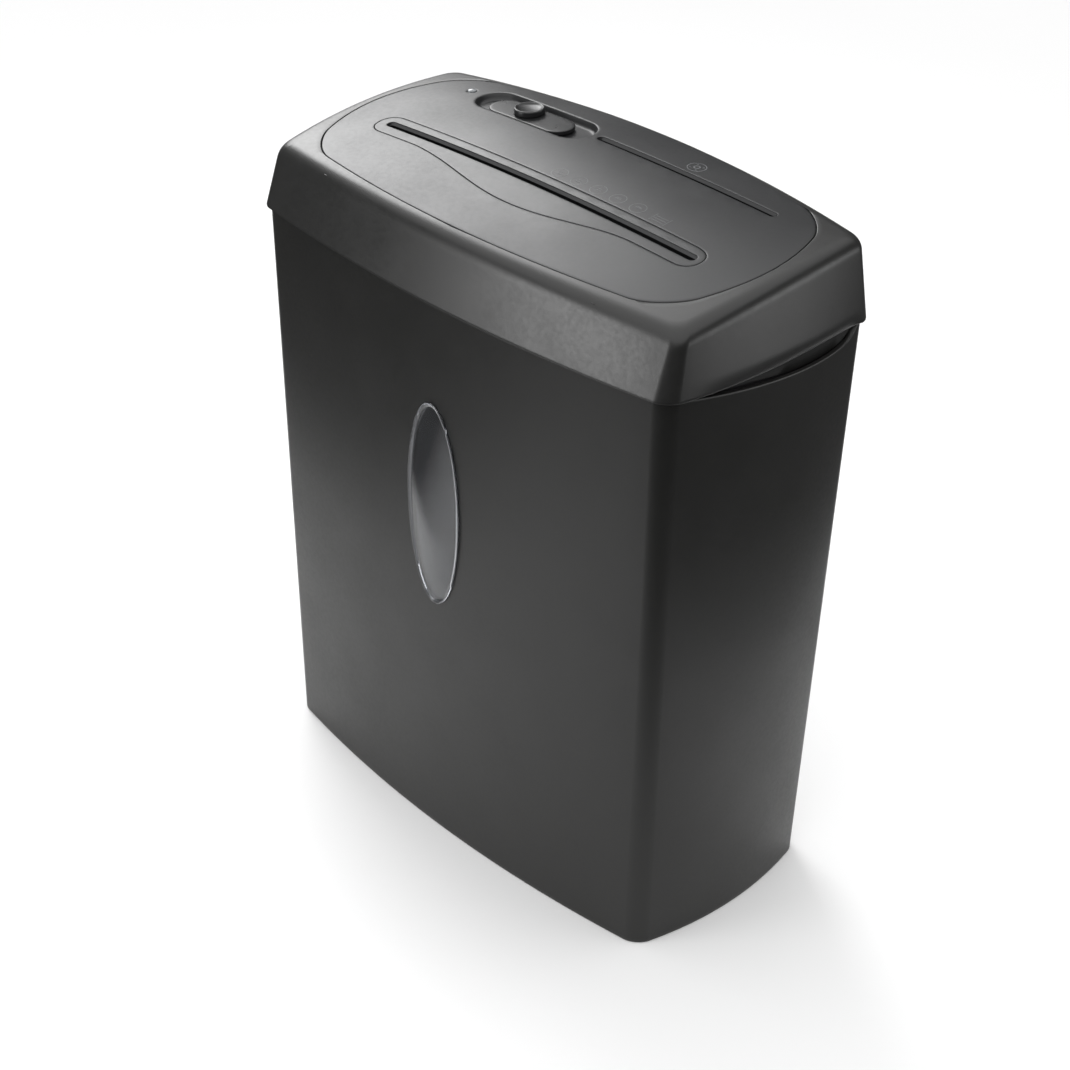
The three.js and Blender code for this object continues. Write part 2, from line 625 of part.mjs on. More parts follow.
/** Skins a bar along X from stations of [x, radii], one radius per corner. */
function stationsX(stations) {
  const corners = stations[0][1].length;
  const at = ([x, radii]) => radii.map((r, k) => {
    const angle = 2 * Math.PI * k / corners;
    return [x, r * Math.cos(angle), r * Math.sin(angle)];
  });
  const last = stations[stations.length - 1];
  return loft(stations.map(at), [[stations[0][0], 0, 0], [last[0], 0, 0]]);
}

const CORNERS = 9;
const round = (r) => Array(CORNERS).fill(r);

/** Hooked blade outline: every third corner is a tooth tip with a notch behind it. */
const toothed = (turn) => Array.from({ length: CORNERS }, (_, k) => (
  [BLADE_TIP, 14.9, 16.1][(k + turn) % 3]));

/** A cutter: its shaft, journals and staggered blades, hooks leaning in the turning direction. */
function cutter(left, right, shift) {
  const edge = 111.8;
  const stations = [[left, round(left < -125 ? SHAFT_R : JOURNAL_R)]];
  if (left < -125) {
    stations.push([-118.7, round(SHAFT_R)], [-118.7, round(JOURNAL_R)]);
  }
  stations.push([-edge, round(JOURNAL_R)], [-edge, round(CORE_R)]);
  for (let i = 0; i < BLADE_COUNT; i += 1) {
    const x = bladeStart(i) + shift;
    const blade = toothed(i);
    stations.push([x, round(CORE_R)], [x, blade], [x + BLADE_THICK, blade], [x + BLADE_THICK, round(CORE_R)]);
  }
  stations.push([edge, round(CORE_R)], [edge, round(JOURNAL_R)], [118.6, round(JOURNAL_R)],
    [118.6, round(SHAFT_R)], [right, round(SHAFT_R)]);
  return stationsX(stations);
}

function slitter(right, shift) {
  const stations = [[SLITTER_PLANE[0] - 0.6, round(SHAFT_R)]];
  for (const start of SLITTER_STARTS) {
    const x = start + shift;
    stations.push([x, round(SHAFT_R)], [x, round(SLITTER_R)], [x + SLITTER_THICK, round(SLITTER_R)],
      [x + SLITTER_THICK, round(SHAFT_R)]);
  }
  stations.push([right, round(SHAFT_R)]);
  return stationsX(stations);
}

// ---------------------------------------------------------------- gears

/** Gear outline with straight-flanked teeth; phase is the angle of one tooth's centre. */
function gearOutline(module, teeth, phase) {
  const pitchR = module * teeth / 2;
  const rootR = pitchR - 1.15 * module;
  const tipR = pitchR + 0.85 * module;
  const rootHalf = 0.98 * module / rootR;
  const tipHalf = 0.33 * module / tipR;
  const points = [];
  for (let i = 0; i < teeth; i += 1) {
    const centre = phase + 2 * Math.PI * i / teeth;
    for (const [r, offset] of [[rootR, -rootHalf], [tipR, -tipHalf], [tipR, tipHalf], [rootR, rootHalf]]) {
      points.push([r * Math.cos(centre + offset), r * Math.sin(centre + offset)]);
    }
  }
  return points;
}

/** Phase that puts a gear's tooth gap opposite its driver's tooth on their line of centres. */
function meshedPhase(driver, driverTeeth, driverPhase, driven, teeth) {
  const line = Math.atan2(driven.z - driver.z, driven.y - driver.y);
  const share = (line - driverPhase) * driverTeeth / (2 * Math.PI);
  return line + Math.PI - (2 * Math.PI / teeth) * (0.5 - share);
}

const spur = (module, teeth, phase, [x0, x1], bore) => (
  prismX(gearOutline(module, teeth, phase), x0, x1, [circle(0, 0, bore, 10)]));

const wheel3Phase = 0;
const pinion3Phase = meshedPhase(CUTTER_A, STAGE_3.wheel, wheel3Phase, AXLE_2, STAGE_3.pinion);
const wheel2Phase = 0;
const pinion2Phase = meshedPhase(AXLE_2, STAGE_2.wheel, wheel2Phase, AXLE_1, STAGE_2.pinion);
const wheel1Phase = 0;
const pinion1Phase = meshedPhase(AXLE_1, STAGE_1.wheel, wheel1Phase, MOTOR, STAGE_1.pinion);
const syncAPhase = 0;
const syncBPhase = meshedPhase(CUTTER_A, SYNC.teeth, syncAPhase, CUTTER_B, SYNC.teeth);
const syncCPhase = meshedPhase(CUTTER_B, SYNC.teeth, syncBPhase, SLITTER_FRONT, SYNC.teeth);
const slitterPhase = meshedPhase(SLITTER_FRONT, SLITTER_GEAR.teeth, 0, SLITTER_REAR, SLITTER_GEAR.teeth);

const cutterA = rotor(CUTTER_A);
addPiece(cutterA, 'cutter_front', 'cutter_steel', cutter(PLANE_3[0] - 0.8, 127, 0));
addPiece(cutterA, 'cutter_drive_gear', 'zinc_steel', spur(
  STAGE_3.module, STAGE_3.wheel, wheel3Phase, PLANE_3, SHAFT_R + GAP));
addPiece(cutterA, 'sync_gear_front', 'zinc_steel', spur(
  SYNC.module, SYNC.teeth, syncAPhase, SYNC_PLANE, SHAFT_R + GAP));

const cutterB = rotor(CUTTER_B);
addPiece(cutterB, 'cutter_rear', 'cutter_steel', cutter(-118, 127, BLADE_PITCH / 2));
addPiece(cutterB, 'sync_gear_rear', 'zinc_steel', spur(
  SYNC.module, SYNC.teeth, syncBPhase, SYNC_PLANE, SHAFT_R + GAP));

const slitterFront = rotor(SLITTER_FRONT);
addPiece(slitterFront, 'disc_slitter_front', 'cutter_steel', slitter(127, 0));
addPiece(slitterFront, 'slitter_drive_gear', 'nylon', spur(
  SYNC.module, SYNC.teeth, syncCPhase, SYNC_PLANE, SHAFT_R + GAP));
addPiece(slitterFront, 'slitter_gear_front', 'nylon', spur(
  SLITTER_GEAR.module, SLITTER_GEAR.teeth, 0, SLITTER_PLANE, SHAFT_R + GAP));

const slitterRear = rotor(SLITTER_REAR);
addPiece(slitterRear, 'disc_slitter_rear', 'cutter_steel', slitter(118.6, SLITTER_THICK + GAP));
addPiece(slitterRear, 'slitter_gear_rear', 'nylon', spur(
  SLITTER_GEAR.module, SLITTER_GEAR.teeth, slitterPhase, SLITTER_PLANE, SHAFT_R + GAP));

/** A moulded double gear: a wheel and the smaller pinion of the next stage beside it. */
function doubleGear(wheelStage, wheelPhase, wheelPlane, pinionStage, pinionPhase, pinionPlane) {
  const wheel = spur(wheelStage.module, wheelStage.wheel, wheelPhase, wheelPlane, AXLE_R + GAP);
  const reach = [pinionPlane[0], wheelPlane[0] + 1];
  const pinion = spur(pinionStage.module, pinionStage.pinion, pinionPhase, reach, AXLE_R + GAP);
  return combine(wheel, [pinion], []);
}

addPiece(rotor(AXLE_1), 'reduction_gear_1', 'nylon', doubleGear(
  STAGE_1, wheel1Phase, PLANE_1, STAGE_2, pinion2Phase, PLANE_2));
addPiece(rotor(AXLE_2), 'reduction_gear_2', 'nylon', doubleGear(
  STAGE_2, wheel2Phase, PLANE_2, STAGE_3, pinion3Phase, PLANE_3));
for (const [name, axis] of [['gear_axle_1', AXLE_1], ['gear_axle_2', AXLE_2]]) {
  addPiece(head, name, 'zinc_steel', barX(COVER.outer + 2.2, -FRAME_X + 1, AXLE_R, axis.y, axis.z, 12));
}

/** Convex outline around a set of points. */
function hull(points) {
  const sorted = [...points].sort((p, q) => p[0] - q[0] || p[1] - q[1]);
  const half = (list) => {
    const chain = [];
    for (const p of list) {
      while (chain.length > 1 && turn(chain[chain.length - 2], chain[chain.length - 1], p) <= 1e-9) {
        chain.pop();
      }
      chain.push(p);
    }
    return chain.slice(0, -1);
  };
  return [...half(sorted), ...half(sorted.reverse())];
}

const turn = (o, a, b) => (a[0] - o[0]) * (b[1] - o[1]) - (a[1] - o[1]) * (b[0] - o[0]);

/** Cover over the reduction gears, open towards the end plate. */
function gearCover() {
  const reach = (axis, module, teeth, grow) => holeAt(axis, module * (teeth / 2 + 0.85) + COVER.clearance + grow);
  const outline = (grow) => hull([
    ...reach(CUTTER_A, STAGE_3.module, STAGE_3.wheel, grow),
    ...reach(AXLE_2, STAGE_2.module, STAGE_2.wheel, grow),
    ...reach(AXLE_1, STAGE_1.module, STAGE_1.wheel, grow),
    ...reach(MOTOR, STAGE_1.module, STAGE_1.pinion, grow),
  ]);
  const open = -FRAME_X - PLATE - GAP;
  const shell = prismX(outline(COVER.wall), COVER.outer, open);
  return combine(shell, [], [prismX(outline(0), COVER.outer + COVER.wall, open + 5)]);
}

addPiece(head, 'gear_cover', 'inner_plastic', gearCover());

// ---------------------------------------------------------------- motor

function motorPieces() {
  const { r, wall, x0, x1 } = MOTOR;
  const can = turnedX([[x0, 3.2], [x0, r], [x1, r], [x1, r - wall], [x0 + wall, r - wall], [x0 + wall, 3.2]], 20);
  const cap = turnedX([[x1 + GAP, 3], [x1 + GAP, r - 0.5], [x1 + 6, r - 2], [x1 + 9, 8], [x1 + 9, 3]], 20);
  addPiece(head, 'motor_can', 'zinc_steel', can).position.set(0, MOTOR.y, MOTOR.z);
  addPiece(head, 'motor_end_cap', 'inner_plastic', cap).position.set(0, MOTOR.y, MOTOR.z);
  const outer = r - wall - GAP;
  const inner = outer - 4.5;
  const spread = THREE.MathUtils.degToRad(130);
  for (const [name, middle] of [['magnet_upper', Math.PI / 2], ['magnet_lower', -Math.PI / 2]]) {
    const arc = (radius, from, to) => Array.from({ length: 9 }, (_, i) => {
      const angle = from + (to - from) * i / 8;
      return [radius * Math.cos(angle), radius * Math.sin(angle)];
    });
    const outline = [
      ...arc(outer, middle - spread / 2, middle + spread / 2),
      ...arc(inner, middle + spread / 2, middle - spread / 2),
    ];
    addPiece(head, name, 'magnet', prismX(outline, x0 + 14, x1 - 18)).position.set(0, MOTOR.y, MOTOR.z);
  }
  const armature = rotor(MOTOR);
  const shaftR = 2.4;
  addPiece(armature, 'armature_shaft', 'zinc_steel', barX(PLANE_1[0] - 0.6, x1 + 8, shaftR, 0, 0, 12));
  addPiece(armature, 'armature_core', 'lamination', prismX(
    circle(0, 0, inner - 0.8, 20), x0 + 16, x1 - 20, [circle(0, 0, shaftR + GAP, 12)]));
  addPiece(armature, 'commutator', 'copper', prismX(
    circle(0, 0, 8, 16), x1 - 16, x1 - 6, [circle(0, 0, shaftR + GAP, 12)]));
  addPiece(armature, 'motor_pinion', 'zinc_steel', spur(
    STAGE_1.module, STAGE_1.pinion, pinion1Phase, PLANE_1, shaftR + GAP));
}

motorPieces();

// ---------------------------------------------------------------- controls and electrics

function modeSlider() {
  const centre = [(SLIDER.x0 + SLIDER.x1) / 2, SLIDER.y];
  const plate = domePlate(stadium(SLIDER), -SLIDER.under, -SLIDER.under - SLIDER.thick, centre);
  const stem = box([KNOB.x - 2, KNOB.y - 2, 379.4], [KNOB.x + 2, KNOB.y + 2, dome(KNOB.x, KNOB.y) - 2]);
  return combine(plate, [stem], []);
}

function sliderKnob() {
  const at = (r, offset) => overDome(circle(KNOB.x, KNOB.y, r, 20), offset);
  const middle = dome(KNOB.x, KNOB.y);
  const low = GAP - SLIDER.under;
  return loft(
    [at(KNOB.r, low), at(KNOB.r, 2.2), at(KNOB.r - 0.5, 2.8), at(KNOB.r - 1.2, 2.8), at(KNOB.r - 2.4, 1.9)],
    [[KNOB.x, KNOB.y, middle + low], [KNOB.x, KNOB.y, middle + 1.4]]);
}

const slider = new THREE.Group();
head.add(slider);
addPiece(slider, 'mode_slider', 'control_plastic', modeSlider());
addPiece(slider, 'slider_knob', 'control_plastic', sliderKnob());
addPiece(slider, 'switch_carrier', 'nylon', box([KNOB.x - 3, KNOB.y - 2, 372.5], [KNOB.x + 3, KNOB.y + 2, 379.1]));

addPiece(head, 'mode_switch', 'inner_plastic', combine(
  box([KNOB.x - 17, KNOB.y - 6.5, 366], [KNOB.x + 17, KNOB.y + 6.5, 378]), [],
  [box([KNOB.x - 12, KNOB.y - 2.5, 372], [KNOB.x + 12, KNOB.y + 2.5, 380])]));
addPiece(head, 'circuit_board', 'board', box([-94, -68, 350.3], [-26, -30, 351.9]));
addPiece(head, 'relay', 'relay', box([-88, -62, 352.2], [-70, -47, 366]));
addPiece(head, 'capacitor', 'copper', barZ(-44, -50, 6, 352.2, 366, 16));
addPiece(head, 'sensor_switch', 'inner_plastic', combine(
  box([3.2, -10.3, 351.5], [9.2, 0, 366]), [], [barX(0, 12, SENSOR.axleR + GAP, SENSOR.y, SENSOR.z, 12)]));

function sensorLever() {
  const axle = barX(-2.5, 10, SENSOR.axleR, 0, 0, 12);
  const hub = barX(-2, 2, 2.4, 0, 0, 12);
  return combine(axle, [hub, box([-1.5, -10.8, -1], [1.5, 0, 1])], []);
}

addPiece(rotor(SENSOR), 'sensor_lever', 'nylon', sensorLever());

addPiece(head, 'interlock_switch', 'inner_plastic', combine(
  box([PLUNGER.x - 3.2, -10, TRAY_FLOOR + 2.7], [PLUNGER.x + 3.2, 10, TRAY_FLOOR + 16]), [],
  [box([PLUNGER.x - 1.8, -2.8, TRAY_FLOOR], [PLUNGER.x + 1.8, 2.8, TRAY_FLOOR + 8.5])]));
addPiece(head, 'interlock_plunger', 'nylon', box(
  [PLUNGER.x - PLUNGER.width / 2, -PLUNGER.depth / 2, TRAY_FLOOR - 1.2],
  [PLUNGER.x + PLUNGER.width / 2, PLUNGER.depth / 2, TRAY_FLOOR + 8]));

export default shredder;
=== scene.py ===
import json
import math
from collections import namedtuple

import bmesh
import bpy
import numpy as np
from mathutils import Matrix, Vector
from mathutils.geometry import delaunay_2d_cdt


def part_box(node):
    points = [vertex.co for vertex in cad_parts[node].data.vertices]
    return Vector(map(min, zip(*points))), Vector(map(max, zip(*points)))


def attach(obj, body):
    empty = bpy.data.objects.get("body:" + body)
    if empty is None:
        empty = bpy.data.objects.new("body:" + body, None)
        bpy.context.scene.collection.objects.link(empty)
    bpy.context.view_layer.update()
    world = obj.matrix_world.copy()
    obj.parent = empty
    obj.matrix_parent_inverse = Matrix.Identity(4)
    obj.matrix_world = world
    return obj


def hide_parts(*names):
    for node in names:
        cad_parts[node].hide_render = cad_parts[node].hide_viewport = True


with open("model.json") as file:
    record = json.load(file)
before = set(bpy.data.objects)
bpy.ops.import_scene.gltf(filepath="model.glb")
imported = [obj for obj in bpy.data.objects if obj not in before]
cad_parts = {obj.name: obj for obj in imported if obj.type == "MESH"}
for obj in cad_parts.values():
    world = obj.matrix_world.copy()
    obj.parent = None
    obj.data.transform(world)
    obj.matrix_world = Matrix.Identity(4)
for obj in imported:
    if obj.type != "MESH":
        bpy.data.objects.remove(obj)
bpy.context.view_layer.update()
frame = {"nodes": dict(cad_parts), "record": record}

# ---------------------------------------------------------------- driving dimensions, in millimetres

MM = 0.001
GAP = 0.3

Plan = namedtuple("Plan", "w d bow_y bow_x corner cy")
BIN_FOOT = Plan(313.9, 155.8, 13.2, 9.7, 8, 0)
BIN_RIM = Plan(320.2, 167.2, 12.6, 8.6, 8, 0)
HEAD_EDGE = Plan(323.6, 170.6, 12.2, 8.3, 8, 0)
SHOULDER = Plan(312.6, 156.0, 12.8, 4.6, 6, 0)
PANEL = Plan(290.8, 141.2, 13.1, 16.5, 17.6, 1.8)

SHOULDER_DROP = 7.7
SHOULDER_ROLL = 8.0
EDGE_ROUND = 0.55   # rounding of the edges beside the groove round the panel
PANEL_THICK = 2.6
LEDGE_WIDTH = 4.5
BIN_WALL = 2.4
BIN_FLOOR = 2.6
HEAD_WALL = 2.8

# The finger scoops in the bin's side rims: a quadratic curve along Y, pulled towards the back.
SCOOP_FRONT, SCOOP_BACK, SCOOP_PULL, SCOOP_DROP = -60, 63, 64.5, 15.6
SCOOP_DEEPEST = 7.8
SCOOP_FROM = 290    # height from which the side walls' rows bend down to the scoops
SIDE_FROM = 140     # points further out than this are on a side wall

# Heights of the front wall's rows beside the window, and the columns of faces that it takes.
WINDOW_ROWS = range(140, 320, 20)
WINDOW_COLUMNS = range(9, 19)

# The post inside the bin that holds the interlock's plunger up.
POST_LOW, POST_HIGH = (-158.1, -5, 245), (-144.8, 5, 287.4)

# Oblong openings and the slider: from x, to x, middle y, width.
SLOT_MOUTH = (-114, 114, -15.3, 5.4)
THROAT = (-113.2, 113.2, -15.3, 5.4)
DISC_SLOT = (-13, 111.5, 43.6, 4.8)
RECESS = (-102.5, -18, 42.5, 25)
SLIDER = (-91, -32, 40.8, 19.4)
RECESS_DEPTH = 3.7
SLIDER_UNDER, SLIDER_FOOT = 0.6, 3.0
THROAT_WALL, THROAT_NECK, THROAT_BOTTOM = 1.6, 376, 345
DISC_MARK = (48, 54)
SYMBOL_PITCH = 14
SLIVER = 0.0003     # twice the area, in square millimetres, under which a triangle is left out


def low(node):
    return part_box(node)[0] / MM


def high(node):
    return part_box(node)[1] / MM


BIN_HEIGHT = high("bin_shell").z
HEAD_BASE = BIN_HEIGHT + 0.4
TRAY_FLOOR = low("lower_tray").z
WINDOW_LOW, WINDOW_HIGH = low("bin_window"), high("bin_window")
WINDOW_Z = (WINDOW_LOW.z + WINDOW_HIGH.z) / 2
WINDOW_A = (WINDOW_HIGH.x - WINDOW_LOW.x) / 2
WINDOW_B = (WINDOW_HIGH.z - WINDOW_LOW.z) / 2
INLET = (low("cord_inlet") + high("cord_inlet")) / 2
INLET_R = (high("cord_inlet").x - low("cord_inlet").x) / 2
KNOB = tuple((low("slider_knob") + high("slider_knob")).to_2d() / 2)
KNOB_R = (high("slider_knob").x - low("slider_knob").x) / 2
LED = tuple((low("led_lens") + high("led_lens")).to_2d() / 2)
LED_R = (high("led_lens").x - low("led_lens").x) / 2
SCREWS = [tuple((low(n) + high(n)).to_2d() / 2) for n in (f"housing_screw_{i}" for i in range(1, 5))]


def dome(x, y):
    """Height of the crowned top: it slopes forward and falls away to both sides."""
    return 385.9 + 0.1031 * y - 0.00024 * x * x - 0.00088 * y * y


# ---------------------------------------------------------------- outlines

def between(a, b, t):
    return tuple(p + (q - p) * t for p, q in zip(a, b))


def grow(plan, by):
    return plan._replace(w=plan.w + 2 * by, d=plan.d + 2 * by)


def mix(a, b, t):
    return Plan(*(p + (q - p) * t for p, q in zip(a, b)))


def plan_points(plan, long_steps=28, short_steps=24, corner_steps=16):
    """A bowed, round-cornered oblong, anticlockwise from the front left corner."""
    cx = plan.w / 2 - plan.bow_x
    cy = plan.d / 2 - plan.bow_y
    sides = [
        (long_steps, cx, lambda s: (s * cx, -cy - plan.bow_y * (1 - s * s))),
        (short_steps, cy, lambda s: (cx + plan.bow_x * (1 - s * s), s * cy)),
        (long_steps, cx, lambda s: (-s * cx, cy + plan.bow_y * (1 - s * s))),
        (short_steps, cy, lambda s: (-cx - plan.bow_x * (1 - s * s), -s * cy)),
    ]
    points = []
    for index, (steps, half, at) in enumerate(sides):
        reach = 1 - plan.corner / half
        points += [at(reach * (2 * i / steps - 1)) for i in range(steps + 1)]
        _, next_half, next_at = sides[(index + 1) % 4]
        stops = (at(reach), at(1), next_at(-(1 - plan.corner / next_half)))
        for i in range(1, corner_steps):
            t = i / corner_steps
            weights = ((1 - t) ** 2, math.sqrt(2) * t * (1 - t), t * t)
            points.append(tuple(
                sum(w * p[k] for w, p in zip(weights, stops)) / sum(weights) for k in (0, 1)))
    return [(x, y + plan.cy) for x, y in points]


def stadium(x0, x1, y, width, steps=14, along=12):
    """An oblong with half-round ends, lying along X."""
    r = width / 2
    points = []
    for x, turn, side in ((x1 - r, -90, -1), (x0 + r, 90, 1)):
        start, end = (x0 + r, x1 - r) if side < 0 else (x1 - r, x0 + r)
        points += [(start + (end - start) * i / along, y + side * r) for i in range(1, along)]
        for i in range(steps + 1):
            angle = math.radians(turn + 180 * i / steps)
            points.append((x + r * math.cos(angle), y + r * math.sin(angle)))
    return points


def circle(x, y, r, steps=48):
    return [(x + r * math.cos(2 * math.pi * i / steps), y + r * math.sin(2 * math.pi * i / steps))
            for i in range(steps)]


def rectangle(x0, x1, y0, y1, step=12):
    corners = [(x0, y0), (x1, y0), (x1, y1), (x0, y1)]
    points = []
    for (ax, ay), (bx, by) in zip(corners, corners[1:] + corners[:1]):
        count = max(1, round(math.hypot(bx - ax, by - ay) / step))
        points += [(ax + (bx - ax) * i / count, ay + (by - ay) * i / count) for i in range(count)]
    return points


def bezier(a, b, c, d, steps=10):
    points = []
    for i in range(1, steps + 1):
        t = i / steps
        weights = ((1 - t) ** 3, 3 * t * (1 - t) ** 2, 3 * t * t * (1 - t), t ** 3)
        points.append(tuple(sum(w * p[k] for w, p in zip(weights, (a, b, c, d))) for k in (0, 1)))
    return points


def straight(a, b, steps):
    return [(a[0] + (b[0] - a[0]) * i / steps, a[1] + (b[1] - a[1]) * i / steps)
            for i in range(1, steps + 1)]


def insert_outline():
    """The throat insert: round ends and a belly towards the front."""
    back, front, belly, left, right = -7, -24.8, -38, -120, 117.5
    middle = (back + front) / 2
    points = bezier((-110, back), (-116.5, back), (left, back - 3.5), (left, middle))
    points += bezier((left, middle), (left, front + 3.5), (-116.5, front), (-110, front))
    points += straight((-110, front), (-80, front), 3)
    points += bezier((-80, front), (-50, front - 2), (-25, belly), (4, belly), 16)
    points += bezier((4, belly), (35, belly), (55, front - 1.2), (78, front), 16)
    points += straight((78, front), (108, front), 3)
    points += bezier((108, front), (114, front), (right, front + 3.5), (right, middle))
    points += bezier((right, middle), (right, back - 3.5), (114, back), (106, back))
    points += straight((106, back), (-110, back), 24)
    return points


def offset(points, by):
    """Moves a closed anticlockwise outline outward; a negative distance moves it inward."""
    p = np.array(points, float)
    ahead = np.roll(p, -1, 0) - p
    ahead /= np.linalg.norm(ahead, axis=1)[:, None]
    behind = np.roll(ahead, 1, 0)
    normal = np.stack([ahead[:, 1] + behind[:, 1], -ahead[:, 0] - behind[:, 0]], 1)
    length = np.linalg.norm(normal, axis=1)
    normal /= length[:, None]
    stretch = np.minimum(2 / length, 1.6)
    return [tuple(q) for q in p + normal * (by * stretch)[:, None]]


# ---------------------------------------------------------------- mesh making

def inside(points, outline):
    """Which of the points lie inside a closed outline."""
    x, y = points[:, 0][:, None], points[:, 1][:, None]
    a = np.array(outline, float)
    b = np.roll(a, -1, 0)
    crosses = (a[:, 1] > y) != (b[:, 1] > y)
    rise = b[:, 1] - a[:, 1]
    at = a[:, 0] + (y - a[:, 1]) * (b[:, 0] - a[:, 0]) / np.where(rise == 0, 1e-12, rise)
    return (crosses & (x < at)).sum(1) % 2 == 1


class Skin:
    """Collects points, in millimetres, and the faces between rings of them."""

    def __init__(self):
        self.points = []
        self.faces = []

    def ring(self, points):
        first = len(self.points)
        self.points.extend(tuple(map(float, p)) for p in points)
        return list(range(first, len(self.points)))

    def over(self, outline, height):
        """A ring above a plan outline; height is a number or a function of x and y."""
        return self.ring([(x, y, height(x, y) if callable(height) else height) for x, y in outline])

    def between(self, a, b, t):
        return self.ring([between(self.points[i], self.points[j], t) for i, j in zip(a, b)])

    def bridge(self, rings, closed=False, skip=()):
        pairs = list(zip(rings, rings[1:] + rings[:1]))
        for a, b in pairs if closed else pairs[:-1]:
            for i in range(len(a)):
                if i not in skip:
                    j = (i + 1) % len(a)
                    self.faces.append((a[i], a[j], b[j], b[i]))

    def fill(self, outline, holes=(), lift=None, spacing=7.0, axes=(0, 1), extra=()):
        """Closes the area between an outline and its holes with triangles on a curved surface.

        lift turns a point of the plane into a point in space; extra gives more points to pass through.
        """
        flat = np.array(self.points)[:, list(axes)]
        loops = [outline, *holes]
        edge = flat[[i for loop in loops for i in loop]]
        lowest, highest = flat[outline].min(0), flat[outline].max(0)
        grid = np.array([(x, y) for x in np.arange(lowest[0], highest[0], spacing)
                         for y in np.arange(lowest[1], highest[1], spacing)]).reshape(-1, 2)
        grid = np.vstack([grid + 0.37 * spacing, np.array(list(extra)).reshape(-1, 2)])
        keep = inside(grid, flat[outline])
        for hole in holes:
            keep &= ~inside(grid, flat[hole])
        grid = grid[keep]
        if len(grid):
            near = np.sqrt(((grid[:, None] - edge[None]) ** 2).sum(2)).min(1)
            grid = grid[near > 0.45 * spacing]
        added = self.ring([lift(*p) for p in grid]) if len(grid) else []
        ids = [i for loop in loops for i in loop] + added
        where = [Vector(p) for p in edge] + [Vector(p) for p in grid]
        edges, start = [], 0
        for loop in loops:
            edges += [(start + i, start + (i + 1) % len(loop)) for i in range(len(loop))]
            start += len(loop)
        found = delaunay_2d_cdt(where, edges, [], 0, 1e-7)
        back = [ids[origin[0]] for origin in found[3]]
        corners = np.array([[tuple(found[0][v]) for v in f] for f in found[2]])
        centres = corners.mean(1)
        (ux, uy), (vx, vy) = (corners[:, 1] - corners[:, 0]).T, (corners[:, 2] - corners[:, 0]).T
        keep = inside(centres, flat[outline]) & (abs(ux * vy - uy * vx) > SLIVER)
        for hole in holes:
            keep &= ~inside(centres, flat[hole])
        for face, kept in zip(found[2], keep):
            if kept:
                self.faces.append(tuple(back[v] for v in face))

    def build(self, name, body=None, slot=None, stands_for=(), sharp=40):
        """The finished piece, or with no body only its mesh."""
        mesh = bpy.data.meshes.new(name)
        mesh.from_pydata([(x * MM, y * MM, z * MM) for x, y, z in self.points], [], self.faces)
        mesh.validate()
        b = bmesh.new()
        b.from_mesh(mesh)
        bmesh.ops.remove_doubles(b, verts=b.verts, dist=1e-7)
        bmesh.ops.delete(b, geom=[v for v in b.verts if not v.link_faces], context="VERTS")
        bmesh.ops.recalc_face_normals(b, faces=b.faces)
        b.to_mesh(mesh)
        b.free()
        return place(mesh, name, body, slot, stands_for, sharp) if body else mesh


def place(mesh, name, body, slot, stands_for=(), sharp=40):
    """Adds a mesh to the scene as a piece of the object."""
    mesh.shade_smooth()
    mesh.set_sharp_from_angle(angle=math.radians(sharp))
    piece = bpy.data.objects.new(name, mesh)
    bpy.context.scene.collection.objects.link(piece)
    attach(piece, body)
    if stands_for:
        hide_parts(*stands_for)
    piece.data.materials.append(MATERIALS[slot])
    return piece


def combine(piece, added=(), cut=()):
    """Joins meshes to a piece, then cuts others out of it."""
    tools = []
    for meshes, operation in ((added, "UNION"), (cut, "DIFFERENCE")):
        for mesh in meshes:
            tool = bpy.data.objects.new("tool", mesh)
            bpy.context.scene.collection.objects.link(tool)
            change = piece.modifiers.new("change", "BOOLEAN")
            change.operation = operation
            change.solver = "EXACT"
            change.object = tool
            tools.append(tool)
    bpy.context.view_layer.update()
    whole = piece.evaluated_get(bpy.context.evaluated_depsgraph_get())
    piece.data = bpy.data.meshes.new_from_object(whole)
    piece.modifiers.clear()
    for tool in tools:
        bpy.data.objects.remove(tool)


def turned(start, axis, profile, steps=32):
    """A turned mesh: profile gives (distance along the axis, radius) from one end to the other."""
    skin = Skin()
    rings = []
    for along, r in profile:
        points = []
        for i in range(steps):
            angle = 2 * math.pi * i / steps
            u, v = r * math.cos(angle), r * math.sin(angle)
            x, y, z = {"X": (along, u, v), "Y": (u, along, v), "Z": (u, v, along)}[axis]
            points.append((start[0] + x, start[1] + y, start[2] + z))
        rings.append(skin.ring(points))
    skin.bridge(rings)
    skin.faces += [tuple(rings[0]), tuple(rings[-1])]
    return skin.build("turned")


def rounded_box(lowest, highest, r):
    """A block with rounded vertical corners and eased top and bottom edges."""
    x0, y0, z0 = lowest
    x1, y1, z1 = highest
    skin = Skin()

    def level(z, inward):
        points = []
        corners = ((x1 - r, y0 + r), (x1 - r, y1 - r), (x0 + r, y1 - r), (x0 + r, y0 + r))
        for (cx, cy), turn in zip(corners, (-90, 0, 90, 180)):
            for i in range(7):
                angle = math.radians(turn + 15 * i)
                points.append((cx + (r - inward) * math.cos(angle), cy + (r - inward) * math.sin(angle)))
        return skin.over(points, z)

    ease = 0.35 * r
    rings = [level(z0, ease), level(z0 + 0.3 * ease, 0.3 * ease), level(z0 + ease, 0)]
    rings += [level(z1 - ease, 0), level(z1 - 0.3 * ease, 0.3 * ease), level(z1, ease)]
    skin.bridge(rings)
    skin.fill(rings[0], lift=lambda x, y: (x, y, z0), spacing=50)
    skin.fill(rings[-1], lift=lambda x, y: (x, y, z1), spacing=50)
    return skin.build("box")


